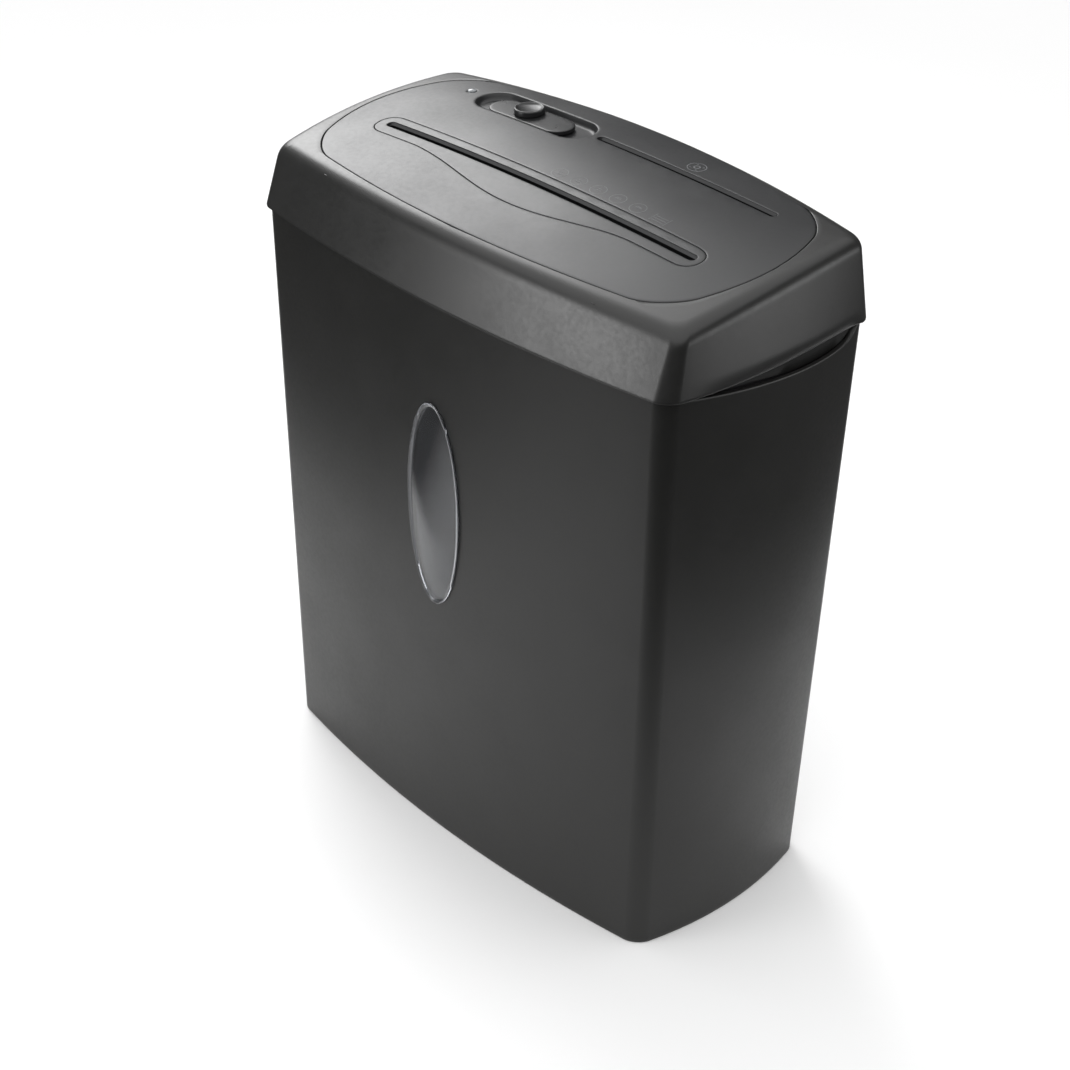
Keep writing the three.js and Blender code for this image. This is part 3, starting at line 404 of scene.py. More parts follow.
def fillet(r, steps=3):
    """Offsets and heights of a rounded edge, from the face on top to the wall beside it."""
    arc = [math.radians(90 * i / steps) for i in range(steps + 1)]
    return [(-r * (1 - math.sin(a)), -r * (1 - math.cos(a))) for a in arc]


def edge_rings(skin, outline, profile, outward=1):
    """Rings along an outline on the crowned top, for a profile of (offset, height) steps."""
    return [skin.over(offset(outline, outward * o), lambda x, y, h=h: dome(x, y) + h) for o, h in profile]


# ---------------------------------------------------------------- finishes

class Finish:
    """A procedural finish round one Principled shader. Texture scales are features per metre."""

    def __init__(self, name, **sockets):
        self.material = bpy.data.materials.new(name)
        self.material.use_nodes = True
        self.tree = self.material.node_tree
        self.shader = self.tree.nodes["Principled BSDF"]
        self.where = self.tree.nodes.new("ShaderNodeTexCoord").outputs["Object"]
        for socket, value in sockets.items():
            self.shader.inputs[socket.replace("_", " ")].default_value = value

    def node(self, kind, links=(), **values):
        node = self.tree.nodes.new(kind)
        for name, value in values.items():
            setattr(node, name, value)
        for socket, value in dict(links).items():
            if hasattr(value, "is_output"):
                self.tree.links.new(value, node.inputs[socket])
            else:
                node.inputs[socket].default_value = value
        return node

    def stretched(self, x, y, z):
        return self.node("ShaderNodeMapping", {"Vector": self.where, "Scale": (x, y, z)}).outputs[0]

    def noise(self, scale, detail=2.0, rough=0.5, where=None):
        links = {"Vector": where or self.where, "Scale": scale, "Detail": detail, "Roughness": rough}
        return self.node("ShaderNodeTexNoise", links).outputs[0]

    def cells(self, scale, feature="F1"):
        links = {"Vector": self.where, "Scale": scale}
        return self.node("ShaderNodeTexVoronoi", links, feature=feature).outputs[0]

    def spread(self, value, start, end, low, high):
        """Maps a texture's values from start..end to low..high."""
        links = {"Value": value, 1: start, 2: end, 3: low, 4: high}
        return self.node("ShaderNodeMapRange", links).outputs[0]

    def maths(self, operation, a, b):
        return self.node("ShaderNodeMath", {0: a, 1: b}, operation=operation).outputs[0]

    def blend(self, factor, a, b):
        first, second = [(*c, 1) if isinstance(c, tuple) else c for c in (a, b)]
        return self.node("ShaderNodeMix", {0: factor, 6: first, 7: second}, data_type="RGBA").outputs[2]

    def wear(self, start=0.52, end=0.62):
        """Bright on convex edges, where handling rubs a moulding."""
        pointy = self.node("ShaderNodeNewGeometry").outputs["Pointiness"]
        return self.spread(pointy, start, end, 0, 1)

    def colour(self, value):
        self.tree.links.new(value, self.shader.inputs["Base Color"])

    def roughness(self, value):
        self.tree.links.new(value, self.shader.inputs["Roughness"])

    def bump(self, height, distance, strength=1.0):
        links = {"Height": height, "Distance": distance, "Strength": strength}
        previous = self.shader.inputs["Normal"]
        if previous.is_linked:
            links["Normal"] = previous.links[0].from_socket
        self.tree.links.new(self.node("ShaderNodeBump", links).outputs[0], previous)


def tint(colour, by):
    return tuple(min(1.0, c * by) for c in colour)


def moulded(name, colour, rough, grain=2600, depth=0.000012, rub=1.5, spec=0.5, **more):
    """Injection-moulded plastic: spark-eroded grain, slow colour drift and slightly rubbed edges."""
    f = Finish(name, Specular_IOR_Level=spec, **more)
    drift = f.spread(f.noise(9, 3), 0.3, 0.7, 0, 1)
    body = f.blend(drift, tint(colour, 0.93), tint(colour, 1.07))
    patchy = f.maths("MULTIPLY", f.wear(), f.spread(f.noise(70, 4), 0.35, 0.65, 0.2, 0.9))
    f.colour(f.blend(patchy, body, tint(colour, rub)))
    fine = f.spread(f.noise(420, 4), 0.3, 0.7, -0.03, 0.03)
    broad = f.spread(f.noise(26, 3), 0.3, 0.7, rough - 0.03, rough + 0.03)
    f.roughness(f.maths("ADD", broad, fine))
    f.bump(f.noise(grain, 3, 0.6), depth, 0.6)
    f.bump(f.cells(grain * 0.45), depth * 1.5, 0.25)
    return f.material


def brushed(name, colour, rough, along=(4, 900, 900)):
    """Ground or rolled metal with fine lines, along X unless told otherwise, and faint staining."""
    f = Finish(name, Metallic=1.0)
    lines = f.noise(1.0, 4, 0.7, f.stretched(*along))
    stain = f.spread(f.noise(45, 5), 0.35, 0.75, 0, 1)
    f.colour(f.blend(stain, tint(colour, 1.06), tint(colour, 0.85)))
    f.roughness(f.maths("ADD", f.spread(lines, 0.3, 0.7, rough - 0.1, rough + 0.1),
                        f.spread(f.noise(160, 3), 0.3, 0.7, -0.04, 0.06)))
    f.bump(lines, 0.00001, 0.5)
    return f.material


def zinc(name):
    """Zinc-plated sheet: a bluish-grey spangle with soft roughness patches."""
    f = Finish(name, Metallic=1.0)
    spangle = f.cells(140)
    f.colour(f.blend(f.spread(spangle, 0, 0.9, 0, 1), (0.63, 0.64, 0.65), (0.52, 0.54, 0.56)))
    f.roughness(f.spread(f.noise(210, 4), 0.3, 0.7, 0.28, 0.46))
    f.bump(f.noise(1500, 3), 0.000008, 0.5)
    return f.material


def clear_window():
    """Clear polycarbonate, faintly smoked, with moulding ripple and handling haze."""
    f = Finish("clear_window", Transmission_Weight=0.97, IOR=1.5)
    haze = f.spread(f.noise(35, 4), 0.35, 0.75, 0, 1)
    f.colour(f.blend(haze, (0.62, 0.64, 0.68), (0.54, 0.55, 0.58)))
    f.roughness(f.spread(haze, 0, 1, 0.04, 0.09))
    f.bump(f.noise(55, 2), 0.00012, 0.25)
    return f.material


def circuit_board():
    """Green solder resist over faint copper tracks, with a woven glass texture."""
    f = Finish("board", Coat_Weight=0.3, Coat_Roughness=0.2)
    tracks = f.node("ShaderNodeTexBrick", {
        "Vector": f.where, "Scale": 130.0, "Color1": (0.02, 0.11, 0.05, 1), "Color2": (0.03, 0.15, 0.07, 1),
        "Mortar": (0.05, 0.22, 0.1, 1), "Mortar Size": 0.03})
    f.colour(tracks.outputs[0])
    f.roughness(f.spread(f.noise(300, 3), 0.3, 0.7, 0.38, 0.55))
    f.bump(tracks.outputs[1], 0.00003, 0.6)
    return f.material


MATERIALS = {
    "bin_plastic": moulded("bin_plastic", (0.0118, 0.0117, 0.011), 0.38, spec=0.36),
    "head_plastic": moulded("head_plastic", (0.0135, 0.0135, 0.013), 0.36, spec=0.58),
    "panel_plastic": moulded("panel_plastic", (0.016, 0.0165, 0.0175), 0.34, depth=0.00001, spec=0.45),
    "control_plastic": moulded("control_plastic", (0.013, 0.0135, 0.014), 0.3,
                               depth=0.000006, rub=1.6, spec=0.42),
    "inner_plastic": moulded("inner_plastic", (0.016, 0.016, 0.017), 0.5, grain=1700),
    "grommet_rubber": moulded("grommet_rubber", (0.014, 0.014, 0.014), 0.62, grain=3200, rub=1.2),
    "nylon": moulded("nylon", (0.68, 0.65, 0.58), 0.42, grain=1900, rub=1.1, Subsurface_Weight=0.08),
    "ferrite": moulded("ferrite", (0.045, 0.045, 0.05), 0.68, grain=1300, depth=0.00003),
    "relay_case": moulded("relay_case", (0.03, 0.09, 0.25), 0.36, rub=1.3),
    "capacitor_sleeve": moulded("capacitor_sleeve", (0.03, 0.03, 0.06), 0.3, rub=1.6),
    "led_lens": moulded("led_lens", (0.4, 0.42, 0.44), 0.15, Transmission_Weight=0.5, Coat_Weight=0.3),
    "marking": moulded("marking", (0.12, 0.123, 0.127), 0.5, grain=1500, rub=1.05),
    "clear_window": clear_window(),
    "board": circuit_board(),
    "zinc_steel": zinc("zinc_steel"),
    "cutter_steel": brushed("cutter_steel", (0.46, 0.46, 0.47), 0.34),
    "bronze": brushed("bronze", (0.5, 0.34, 0.17), 0.4, (60, 60, 60)),
    "lamination": brushed("lamination", (0.33, 0.33, 0.35), 0.42, (2200, 6, 6)),
    "copper": brushed("copper", (0.68, 0.33, 0.2), 0.3, (900, 4, 4)),
}


# ---------------------------------------------------------------- bin

def scoop_drop(y):
    """How far the bin's side rim dips for the fingertips, at a distance along the side."""
    if not SCOOP_FRONT < y < SCOOP_BACK:
        return 0.0
    bend = SCOOP_FRONT - 2 * SCOOP_PULL + SCOOP_BACK
    rise = SCOOP_PULL - SCOOP_FRONT
    t = (-rise + math.sqrt(rise * rise - bend * (SCOOP_FRONT - y))) / bend
    return 2 * t * (1 - t) * SCOOP_DROP


def front_face(x, z, inward=0.0):
    """Y of the bin's front wall, at a distance inward of its outer face."""
    plan = grow(mix(BIN_FOOT, BIN_RIM, z / BIN_HEIGHT), -inward)
    s = x / (plan.w / 2 - plan.bow_x)
    return -plan.d / 2 + plan.bow_y * s * s


def window_ellipse(clear, steps=96):
    return [((WINDOW_A - clear) * math.cos(2 * math.pi * i / steps),
             WINDOW_Z + (WINDOW_B - clear) * math.sin(2 * math.pi * i / steps)) for i in range(steps)]


def bin_body():
    """The bin: a tapered, bowed basket with finger scoops, an oval opening and the interlock's post."""
    skin = Skin()
    foot, rim = plan_points(BIN_FOOT), plan_points(BIN_RIM)
    inner_foot = plan_points(grow(mix(BIN_FOOT, BIN_RIM, BIN_FLOOR / BIN_HEIGHT), -BIN_WALL))
    inner_rim = plan_points(grow(BIN_RIM, -BIN_WALL))
    drops = [scoop_drop(y) if abs(x) > SIDE_FROM else 0.0 for x, y in rim]

    def wall(level, through):
        """A ring round the wall, from its outer face (through 0) to its inner face (1) and past it."""
        points = []
        for a, b, c, d, drop in zip(foot, rim, inner_foot, inner_rim, drops):
            z = level - drop * max(0.0, (level - SCOOP_FROM) / (BIN_HEIGHT - SCOOP_FROM))
            outer = between(a, b, z / BIN_HEIGHT)
            inner = between(c, d, (z - BIN_FLOOR) / (BIN_HEIGHT - BIN_FLOOR))
            points.append((*between(outer, inner, through), z))
        return skin.ring(points)

    def window_wall(rings, inward):
        """The wall between two levels, with the window's opening in its front."""
        skin.bridge(rings, skip=WINDOW_COLUMNS)
        start, end = WINDOW_COLUMNS.start, WINDOW_COLUMNS.stop
        outline = rings[0][start:end] + [ring[end] for ring in rings]
        outline += rings[-1][start:end][::-1] + [ring[start] for ring in rings[-2:0:-1]]
        if inward:
            outline = outline[::-1]
        hole = skin.ring([(x, front_face(x, z, inward), z) for x, z in window_ellipse(GAP + 2)])
        near = [p for clear in (-1.5, -5) for p in window_ellipse(clear, 64)]
        skin.fill(outline, [hole], lambda x, z: (x, front_face(x, z, inward), z), 9, (0, 2), extra=near)
        return hole

    underside = wall(0, 0.5)
    lower = [underside, wall(0.25, 0.15), wall(1.0, 0), wall(3, 0)]
    lower += [wall(z, 0) for z in range(20, WINDOW_ROWS[0] + 10, 20)]
    outer_mid = [lower[-1]] + [wall(z, 0) for z in WINDOW_ROWS[1:]]
    top = BIN_HEIGHT
    lip = [(320, 0), (331, 0), (top - 1.4, 0), (top - 0.65, 0), (top - 0.2, 0.08), (top, 0.27), (top, 0.73),
           (top - 0.2, 0.92), (top - 0.65, 1), (top - 1.4, 1), (331, 1), (320, 1)]
    inner_mid = [wall(z, 1) for z in WINDOW_ROWS[::-1]]
    upper = [outer_mid[-1]] + [wall(*step) for step in lip] + [inner_mid[0]]
    inside_low = [inner_mid[-1]] + [wall(z, 1) for z in (120, 90, 60, 30)]
    inside_low += [wall(BIN_FLOOR + rise, through) for rise, through in
                   ((5, 1), (3, 1.0), (0.9, 1.4), (0, 2.3), (0, 4))]
    for rings in (lower, upper, inside_low):
        skin.bridge(rings)
    outer_hole = window_wall(outer_mid, 0)
    inner_hole = window_wall(inner_mid, BIN_WALL)
    skin.bridge([outer_hole, inner_hole])
    skin.fill(underside, lift=lambda x, y: (x, y, 0), spacing=16)
    skin.fill(inside_low[-1], lift=lambda x, y: (x, y, BIN_FLOOR), spacing=16)
    piece = skin.build("bin_body", "bin", "bin_plastic", ["bin_shell"])
    combine(piece, [rounded_box(POST_LOW, POST_HIGH, 1.2)])


def bin_lens():
    """Clear window: a raised oval rim round a softly bulged lens, with a plug behind it."""
    skin = Skin()
    rim = 2.0

    def oval(clear, proud, share=1.0):
        """A ring standing proud of the bin's front, at a share of the oval that is clear of the edge."""
        edge = [(x * share, WINDOW_Z + (z - WINDOW_Z) * share) for x, z in window_ellipse(clear)]
        return skin.ring([(x, front_face(x, z) - proud, z) for x, z in edge])

    def bulge(share, edge, centre):
        """A ring on the lens at a share of its half-axes, its height easing from edge to centre."""
        return oval(rim + 0.9, edge + (centre - edge) * (1 - share * share), share)

    shares = (1, 0.96, 0.9, 0.8, 0.68, 0.54, 0.4, 0.26, 0.12)
    plug = rim + 2 * GAP
    raised = [(plug, -BIN_WALL), (plug, GAP), (0.1, GAP), (0, GAP + 0.15), (0, 0.85), (0.1, 1.12),
              (0.35, 1.32), (0.7, 1.4), (1.2, 1.38), (1.6, 1.2), (1.95, 0.85), (2.3, 0.62), (2.7, 0.6)]
    rings = [bulge(s, -BIN_WALL, -0.9) for s in shares[::-1]]
    rings += [oval(*step) for step in raised] + [bulge(s, 0.6, 2.3) for s in shares]
    skin.bridge(rings)
    for ring, height in ((rings[0], 0.9), (rings[-1], -2.3)):
        centre = skin.ring([(0, front_face(0, WINDOW_Z) + height, WINDOW_Z)])[0]
        skin.faces += [(a, b, centre) for a, b in zip(ring, ring[1:] + ring[:1])]
    skin.build("bin_lens", "bin", "clear_window", ["bin_window"], sharp=60)


# ---------------------------------------------------------------- head

def housing():
    """The head's shell: leaning walls, a rolled shoulder, the panel's ledge and a skirt in the scoops."""
    skin = Skin()
    edge, shoulder = plan_points(HEAD_EDGE), plan_points(SHOULDER)
    crest, aperture = plan_points(grow(SHOULDER, -SHOULDER_ROLL)), plan_points(grow(PANEL, GAP))
    ledge = plan_points(grow(PANEL, -LEDGE_WIDTH))
    inner_edge = plan_points(grow(HEAD_EDGE, -HEAD_WALL))
    inner_shoulder = plan_points(grow(SHOULDER, -HEAD_WALL))
    inner_top = -SHOULDER_DROP - 2.5
    ledge_top = -PANEL_THICK - GAP
    grips = [scoop_drop(y) / SCOOP_DEEPEST if abs(x) > SIDE_FROM else 0.0 for x, y in edge]

    def wall(height, inward, inside=False):
        """A ring round the wall at a height over its lower edge; the sides tuck in above the scoops."""
        points = []
        base, crown, drop = ((inner_edge, inner_shoulder, inner_top) if inside else
                             (edge, shoulder, -SHOULDER_DROP))
        for (ax, ay), (bx, by), grip in zip(base, crown, grips):
            rise = dome(bx, by) + drop - HEAD_BASE
            t = min(height / rise, 1)
            x, y = ax + (bx - ax) * t, ay + (by - ay) * t
            tuck = grip * max(0.0, 1 - height / 8.5) ** 2 * (3.4 if inside else 3.0)
            reach = 1 - (inward + tuck) / 150
            points.append((x * reach if grip or inward else x, y * (1 - inward / 80), HEAD_BASE + rise * t))
        return skin.ring(points)

    def skirt(inward, deeper, drop):
        """A ring of the skirt that closes the finger scoops behind the bin's lip."""
        points = []
        for (x, y), grip in zip(edge, grips):
            narrower = 1 - (inward + deeper * min(1, grip / 0.25)) / 161
            shallower = 1 - inward / 85
            points.append((x * narrower, y * shallower, HEAD_BASE - drop * max(0.0, grip - 0.3) / 0.7))
        return skin.ring(points)

    def rolled(t):
        """A ring on the rolled shoulder, which leaves the wall along its lean and runs out on the dome."""
        points = []
        for (ax, ay), (bx, by), (cx, cy) in zip(edge, shoulder, crest):
            start = dome(bx, by) - SHOULDER_DROP
            lean = SHOULDER_DROP / (start - HEAD_BASE)
            bend = (bx + (bx - ax) * lean, by + (by - ay) * lean)
            ends = ((bx, by, start), (*bend, dome(*bend)), (cx, cy, dome(cx, cy)))
            weights = ((1 - t) ** 2, 2 * t * (1 - t), t ** 2)
            points.append(tuple(sum(w * end[axis] for w, end in zip(weights, ends)) for axis in range(3)))
        return skin.ring(points)

    def band(share, drop):
        """A ring on the band round the panel: share runs from the crest to the start of the groove's edge."""
        points = []
        for a, b in zip(crest, aperture):
            width = math.dist(a, b)
            r = min(EDGE_ROUND, 0.6 * width)
            x, y = between(a, b, share * (1 - r / width) if share <= 1 else 1 - (2 - share) * r / width)
            points.append((x, y, dome(x, y) - drop * r / EDGE_ROUND))
        return skin.ring(points)

    def over(outline, drop):
        return skin.over(outline, lambda x, y: dome(x, y) + drop)

    roll = [rolled(i / 16) for i in range(17)]
    rings = [wall(0, 0.6), wall(0.18, 0.18), wall(0.65, 0)]
    rings += [wall(h, 0) for h in (1.6, 2.8, 4, 5.2, 6.4, 7.6, 9, 12, 16, 20)]
    rings += [skin.between(rings[-1], roll[0], t) for t in (0.35, 0.7, 0.92)]
    rings += roll + [band(0.35, 0), band(0.75, 0), band(1, 0)]
    rings += [band(1.5, 0.074), band(1.87, 0.27), band(2, EDGE_ROUND), over(aperture, -1.4)]
    rings += [over(aperture, ledge_top), over(ledge, ledge_top), over(ledge, ledge_top - 2.2)]
    rings += [over(inner_shoulder, inner_top)]
    rings += [wall(h, 0, True) for h in (12, 8.5, 5, 2.5, 0.5)]
    rings += [skirt(*step) for step in ((2.8, 3.4, 0), (2.8, 3.4, 8.6), (2.5, 3.1, 8.9),
                                        (1.8, 3.3, 8.9), (1.5, 3.4, 8.6), (1.5, 3.4, 0))]
    skin.bridge(rings, closed=True)
    piece = skin.build("housing", "head", "head_plastic", ["head_housing"])
    inlet = turned((INLET.x, 60, INLET.z), "Y", [(0, INLET_R + GAP), (30, INLET_R + GAP)])
    bosses = [turned((x, y, TRAY_FLOOR + 2.7), "Z",
                     [(0, 2.9), (0.3, 3.2), (dome(x, y) - TRAY_FLOOR - 5.5, 3.2)]) for x, y in SCREWS]
    bores = [turned((x, y, TRAY_FLOOR), "Z", [(0, 1.9), (14, 1.9)]) for x, y in SCREWS]
    combine(piece, bosses, [inlet, *bores])


# ---------------------------------------------------------------- top panel and its controls

def sunk(depth):
    """A surface at a depth below the crowned top."""
    return lambda x, y: dome(x, y) - depth


def lifted(depth):
    """The same surface as points in space."""
    return lambda x, y: (x, y, dome(x, y) - depth)


def opening(skin, points, rounding, depth):
    """The rounded edge of an opening, from a support ring on the face down to a depth."""
    return edge_rings(skin, points, [(-rounding - 1, 0)] + fillet(rounding) + [(0, -depth)], -1)


def rear_bevel(slot, bevel=0.6):
    """A slot's outline below its bevel, which takes most from the rear edge."""
    x0, x1, y, width = slot
    return stadium(x0 + 0.5, x1 - 0.5, y - bevel, width - 2 * bevel)


def top_panel():
    """The flush panel with the disc slot, the lamp's hole and the sunk well that the slider runs in."""
    skin = Skin()
    eased = [(0, 0.2 - PANEL_THICK), (-0.2, -PANEL_THICK)]
    rim = edge_rings(skin, plan_points(PANEL), [(-1.8, 0)] + fillet(EDGE_ROUND, 4) + eased)
    insert = opening(skin, offset(insert_outline(), GAP), 0.35, PANEL_THICK)
    led = opening(skin, circle(*LED, LED_R + GAP), 0.3, PANEL_THICK)
    disc_slot = stadium(*DISC_SLOT)
    disc = opening(skin, disc_slot, 0.3, 0.4)
    disc += [skin.over(rear_bevel(DISC_SLOT), sunk(depth)) for depth in (1.6, 2.0)]
    disc += edge_rings(skin, disc_slot, [(0, -2.2), (0, -3.2), (0.3, -3.4), (1.0, -3.4), (1.2, -3.2),
                                         (1.2, -PANEL_THICK)])
    pocket = stadium(*RECESS, 20, 14)
    well = edge_rings(skin, pocket, [
        (1.8, 0), (0.5, 0), (0.3, -0.06), (0.1, -0.2), (-0.1, -0.45), (-0.75, -1.9), (-1.1, -2.6),
        (-1.5, -3.1), (-2.1, -3.5), (-2.9, -RECESS_DEPTH), (-3.9, -RECESS_DEPTH)])
    cup_depth = RECESS_DEPTH + 1.9
    cup = edge_rings(skin, offset(pocket, 2), [(0, -PANEL_THICK), (0, 0.3 - cup_depth), (-0.3, -cup_depth)])
    stem = rectangle(KNOB[0] - 13, KNOB[0] + 13, KNOB[1] - 3, KNOB[1] + 3, 3)
    stem_walls = [skin.over(stem, sunk(RECESS_DEPTH)), skin.over(stem, sunk(cup_depth))]
    for rings in (rim, insert, led, disc, well, cup, stem_walls):
        skin.bridge(rings)
    skin.fill(well[-1], [stem_walls[0]], lifted(RECESS_DEPTH), 6)
    skin.fill(cup[-1], [stem_walls[1]], lifted(cup_depth), 9)
    skin.fill(rim[0], [insert[0], led[0], disc[0], well[0]], lifted(0), 5)
    skin.fill(rim[-1], [insert[-1], led[-1], disc[-1], cup[0]], lifted(PANEL_THICK), 9)
    skin.build("panel", "head", "panel_plastic", ["top_panel"])


def throat_insert():
    """Flush insert with the paper slot: its rear edge is bevelled, and a throat hangs below it."""
    skin = Skin()
    rim = edge_rings(skin, insert_outline(),
                     [(-1.3, 0)] + fillet(0.35) + [(0, 0.2 - PANEL_THICK), (-0.2, -PANEL_THICK)])
    tube = stadium(*THROAT)
    outside = offset(tube, THROAT_WALL)
    mouth = opening(skin, stadium(*SLOT_MOUTH), 0.3, 0.5)
    mouth += [skin.over(line, height) for line, height in (
        (rear_bevel(SLOT_MOUTH), sunk(1.5)), (rear_bevel(SLOT_MOUTH), sunk(1.9)), (tube, sunk(2.1)),
        (tube, THROAT_NECK), (tube, THROAT_BOTTOM + 0.3), (offset(tube, 0.3), THROAT_BOTTOM),
        (offset(outside, -0.3), THROAT_BOTTOM), (outside, THROAT_BOTTOM + 0.3), (outside, THROAT_NECK),
        (outside, sunk(PANEL_THICK)))]
    skin.bridge(rim)
    skin.bridge(mouth)
    skin.fill(rim[0], [mouth[0]], lifted(0), 4)
    skin.fill(rim[-1], [mouth[-1]], lifted(PANEL_THICK), 7)
    piece = skin.build("throat_insert", "head", "panel_plastic", ["slot_bezel"])
    sensor_gap = rounded_box((-4, THROAT[2] + 1.5, 350), (4, -8, 366), 0.6)
    combine(piece, cut=[sensor_gap])


def mode_plate():
    """The slider's plate, a little under the panel's face, with a stem down to the switch."""
    skin = Skin()
    plan = stadium(*SLIDER, 18, 10)
    rings = edge_rings(skin, plan, [(o, h - SLIDER_UNDER) for o, h in [(-1.8, 0)] + fillet(0.6, 4)])
    rings += edge_rings(skin, plan, [(0, 0.3 - SLIDER_FOOT), (-0.3, -SLIDER_FOOT)])
    skin.bridge(rings)
    skin.fill(rings[0], lift=lifted(SLIDER_UNDER), spacing=5)
    skin.fill(rings[-1], lift=lifted(SLIDER_FOOT), spacing=5)
    piece = skin.build("mode_plate", "mode_slider", "control_plastic", ["mode_slider"])
    x, y = KNOB
    foot, top = low("mode_slider").z, dome(x, y) - SLIDER_FOOT + 0.6
    combine(piece, [rounded_box((x - 2, y - 2, foot), (x + 2, y + 2, top), 0.4)])


def thumb_knob():
    """Round knob with a rolled rim and a dished top."""
    skin = Skin()
    profile = [(8.3, -0.3), (8.5, -0.1), (8.5, 1.9), (8.45, 2.25), (8.28, 2.52), (8.03, 2.72), (7.72, 2.8),
               (7.4, 2.78), (7.1, 2.66), (6.8, 2.44), (6.4, 2.16), (5.7, 1.9), (4.5, 1.68), (3, 1.52),
               (1.5, 1.42)]
    rings = [skin.over(circle(*KNOB, r * KNOB_R / 8.5, 72), sunk(-h)) for r, h in profile]
    skin.bridge(rings)
    skin.fill(rings[0], lift=lifted(0.3), spacing=4)
    skin.fill(rings[-1], lift=lifted(-1.41), spacing=1)
    skin.build("thumb_knob", "mode_slider", "control_plastic", ["slider_knob"])


def lamp():
    """The indicator's clear lens, domed above the panel."""
    skin = Skin()
    profile = [(0.94, -5), (1, -4.8), (1, 0.1), (0.96, 0.32), (0.86, 0.55), (0.7, 0.76), (0.48, 0.92),
               (0.24, 0.99)]
    rings = [skin.over(circle(*LED, r * LED_R, 48), sunk(-h)) for r, h in profile]
    skin.bridge(rings)
    skin.faces += [tuple(rings[0]), tuple(rings[-1])]
    skin.build("lamp", "head", "led_lens", ["led_lens"])


def ribbon(skin, inner, outer, thick=0.05):
    """A printed mark between two outlines, standing a little above the panel."""
    rings = [skin.over(line, sunk(depth)) for line, depth in
             ((inner, 0.03), (inner, -thick), (outer, -thick), (outer, 0.03))]
    skin.bridge(rings, closed=True)


def panel_marks():
    """Plain pictograms: a disc beside its slot and a row of round and square symbols."""
    skin = Skin()

    def ring_mark(x, y, r, line):
        ribbon(skin, circle(x, y, r - line, 48), circle(x, y, r, 48))

    def bar(x0, x1, y0, y1):
        ribbon(skin, offset(rectangle(x0, x1, y0, y1), -0.16), rectangle(x0, x1, y0, y1))

    ring_mark(*DISC_MARK, 5.25, 0.4)
    ring_mark(*DISC_MARK, 1.9, 0.6)
    for step in range(4):
        angle = math.radians(35 + 90 * step)
        ring_mark(DISC_MARK[0] + 3.5 * math.cos(angle), DISC_MARK[1] + 3.5 * math.sin(angle), 0.5, 0.25)
    for step in range(5):
        x, y = 4 + SYMBOL_PITCH * step, -0.3
        ring_mark(x, y, 4.6, 0.3)
        bar(x - 2, x + 2, y - 1.4 + 0.4 * step, y - 1.0 + 0.4 * step)
        bar(x - 1.4, x + 1.4, y + 0.9, y + 1.3)
    for y in (-3.4, -1.4, 0.6):
        bar(72, 80, y, y + 0.4)
    bar(71, 71.4, -4.4, 2.6)
    bar(80.6, 81, -4.4, 2.6)
    piece = skin.build("panel_marks", "head", "panel_plastic")
    piece.data.materials[0] = MATERIALS["marking"]


# ---------------------------------------------------------------- the whole object

for make in (bin_body, bin_lens, housing, top_panel, throat_insert,
             mode_plate, thumb_knob, lamp, panel_marks):
    make()

nodes = frame["nodes"]
for part in frame["record"]["subparts"]:
    nodes[part["node"]].material_slots[0].material = MATERIALS[part["material_slot"]]


# ---------------------------------------------------------------- floor, light and camera

# In metres and degrees. The camera: azimuth, elevation and roll, then steps back, across and up.
CAMERA_TURN = (46.476, 31.894, 1.4)
CAMERA_AIM = Vector((0, 0, 0.19))
CAMERA_STEPS = (1.20449, -0.006052, -0.019165)
CAMERA_LENS = 72.892
LIGHTS_AIM = Vector((0, 0, 0.25))

# Each edge of the pale sweep, where painted shade darkens the floor's colour for the light falling off: a
# direction on the floor, where it starts and ends to fade, and what is left.
SWEEP_PAINTED_SHADE_EDGES = [
    (0.537, 0.87, -0.345, -0.4, 0.0),
    (1.0, 0.0, -0.16, -0.36, 0.0),
    (-0.725, 0.689, -0.27, -0.48, 0.0),
    (-0.841, -0.58, -0.335, -0.42, 0.03),
]


def studio_floor():
    """Pale sweep whose colour fades to near black to the left, in front and to the right: painted shade for
    the studio light falling off away from the object.
    """
    steps = [-9, -5, -3, -2, -1, -0.5, 0, 0.5, 1, 2, 3, 5, 9]
    size = len(steps)
    points = [(x, y, 0) for y in steps for x in steps]
    faces = [(r * size + c, r * size + c + 1, (r + 1) * size + c + 1, (r + 1) * size + c)
             for r in range(size - 1) for c in range(size - 1)]
    mesh = bpy.data.meshes.new("studio_floor")
    mesh.from_pydata(points, [], faces)
    f = Finish("floor_paint", Specular_IOR_Level=0.15)
    mottle = f.spread(f.noise(0.9, 3), 0.3, 0.7, 0, 1)
    pale = f.blend(mottle, (0.91, 0.91, 0.91), (0.93, 0.93, 0.93))
    x, y = f.node("ShaderNodeSeparateXYZ", {0: f.where}).outputs[:2]
    # Painted shade: each edge darkens the floor's colour in place of the light falling off away from the
    # object.
    painted_shade_fades = []
    for along_x, along_y, start, end, least in SWEEP_PAINTED_SHADE_EDGES:
        reach = f.maths("ADD", f.maths("MULTIPLY", x, along_x), f.maths("MULTIPLY", y, along_y))
        painted_shade_fades.append(f.spread(reach, start, end, 1, least))
    left, beside, front, right = painted_shade_fades
    painted_shade_share = f.maths("MULTIPLY", f.maths("MAXIMUM", left, beside), f.maths("MULTIPLY", front, right))
    # Painted shade: the floor's colour goes from pale to near black where the painted falloff of light lies.
    f.colour(f.blend(painted_shade_share, (0.05, 0.05, 0.05), pale))
    f.roughness(f.spread(f.noise(6, 3), 0.3, 0.7, 0.75, 0.85))
    f.bump(f.noise(900, 2), 0.00001, 0.3)
    mesh.materials.append(f.material)
    floor = bpy.data.objects.new("studio_floor", mesh)
    bpy.context.scene.collection.objects.link(floor)


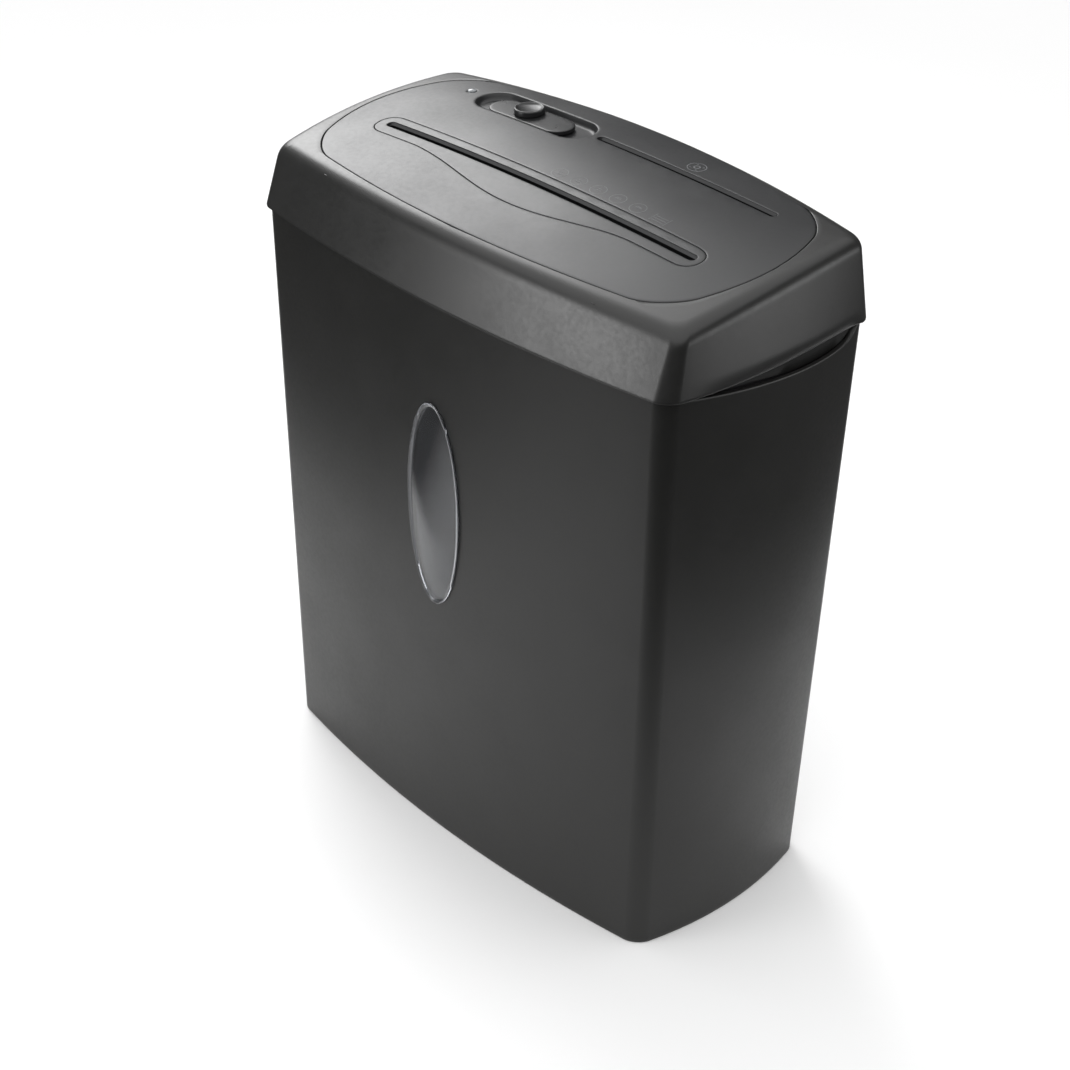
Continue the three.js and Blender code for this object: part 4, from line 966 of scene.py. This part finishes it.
def hang(light, direction, distance):
    """Puts a light in a direction from the middle of the object, facing it."""
    away = Vector(direction).normalized()
    holder = bpy.data.objects.new(light.name, light)
    holder.location = LIGHTS_AIM + away * distance
    holder.rotation_euler = away.to_track_quat("Z", "Y").to_euler()
    bpy.context.scene.collection.objects.link(holder)


def softbox(name, direction, distance, size, power, spread=180):
    """A square soft light."""
    light = bpy.data.lights.new(name, "AREA")
    light.shape = "RECTANGLE"
    light.size, light.size_y = size
    light.energy = power
    light.spread = math.radians(spread)
    hang(light, direction, distance)


def sun(name, direction, spread, strength):
    """A far, wide light that reaches the whole floor evenly."""
    light = bpy.data.lights.new(name, "SUN")
    light.angle = math.radians(spread)
    light.energy = strength
    hang(light, direction, 3.0)


def studio_world(strength):
    """A faint even light from all round."""
    world = bpy.data.worlds.new("studio")
    bpy.context.scene.world = world
    world.use_nodes = True
    background = world.node_tree.nodes["Background"]
    background.inputs["Color"].default_value = (1, 1, 1, 1)
    background.inputs["Strength"].default_value = strength


def aim_camera():
    """A camera turned round the object's aim point, then shifted a little in its own plane."""
    azimuth, elevation, roll = map(math.radians, CAMERA_TURN)
    flat = math.cos(elevation)
    back = Vector((math.sin(azimuth) * flat, -math.cos(azimuth) * flat, math.sin(elevation)))
    level = Vector((math.cos(azimuth), math.sin(azimuth), 0))
    rise = back.cross(level)
    across = math.cos(roll) * level + math.sin(roll) * rise
    upward = math.cos(roll) * rise - math.sin(roll) * level
    lens = bpy.data.cameras.new("camera")
    lens.lens = CAMERA_LENS
    lens.sensor_width = 36
    lens.clip_end = 60
    camera = bpy.data.objects.new("camera", lens)
    step_back, step_across, step_up = CAMERA_STEPS
    eye = CAMERA_AIM + step_back * back + step_across * across + step_up * upward
    camera.matrix_world = Matrix.Translation(eye) @ Matrix((across, upward, back)).transposed().to_4x4()
    bpy.context.scene.collection.objects.link(camera)
    bpy.context.scene.camera = camera
    bpy.context.scene.view_settings.view_transform = "Standard"


studio_floor()
studio_world(0.1)
sun("skylight", (0.05, -0.1, 1), 120, 2.98)
softbox("key", (-0.8, 0.31, 0.53), 1.8, (1.0, 1.0), 2.55, 60)
softbox("high", (-0.5, 0.25, 0.83), 2.2, (1.6, 1.6), 0.7, 70)
softbox("low_front", (-0.4, -0.91, 0.12), 1.9, (0.8, 0.8), 13.5)
softbox("low_right", (0.8, 0.6, -0.04), 1.9, (1.3, 0.5), 7.5)
aim_camera()
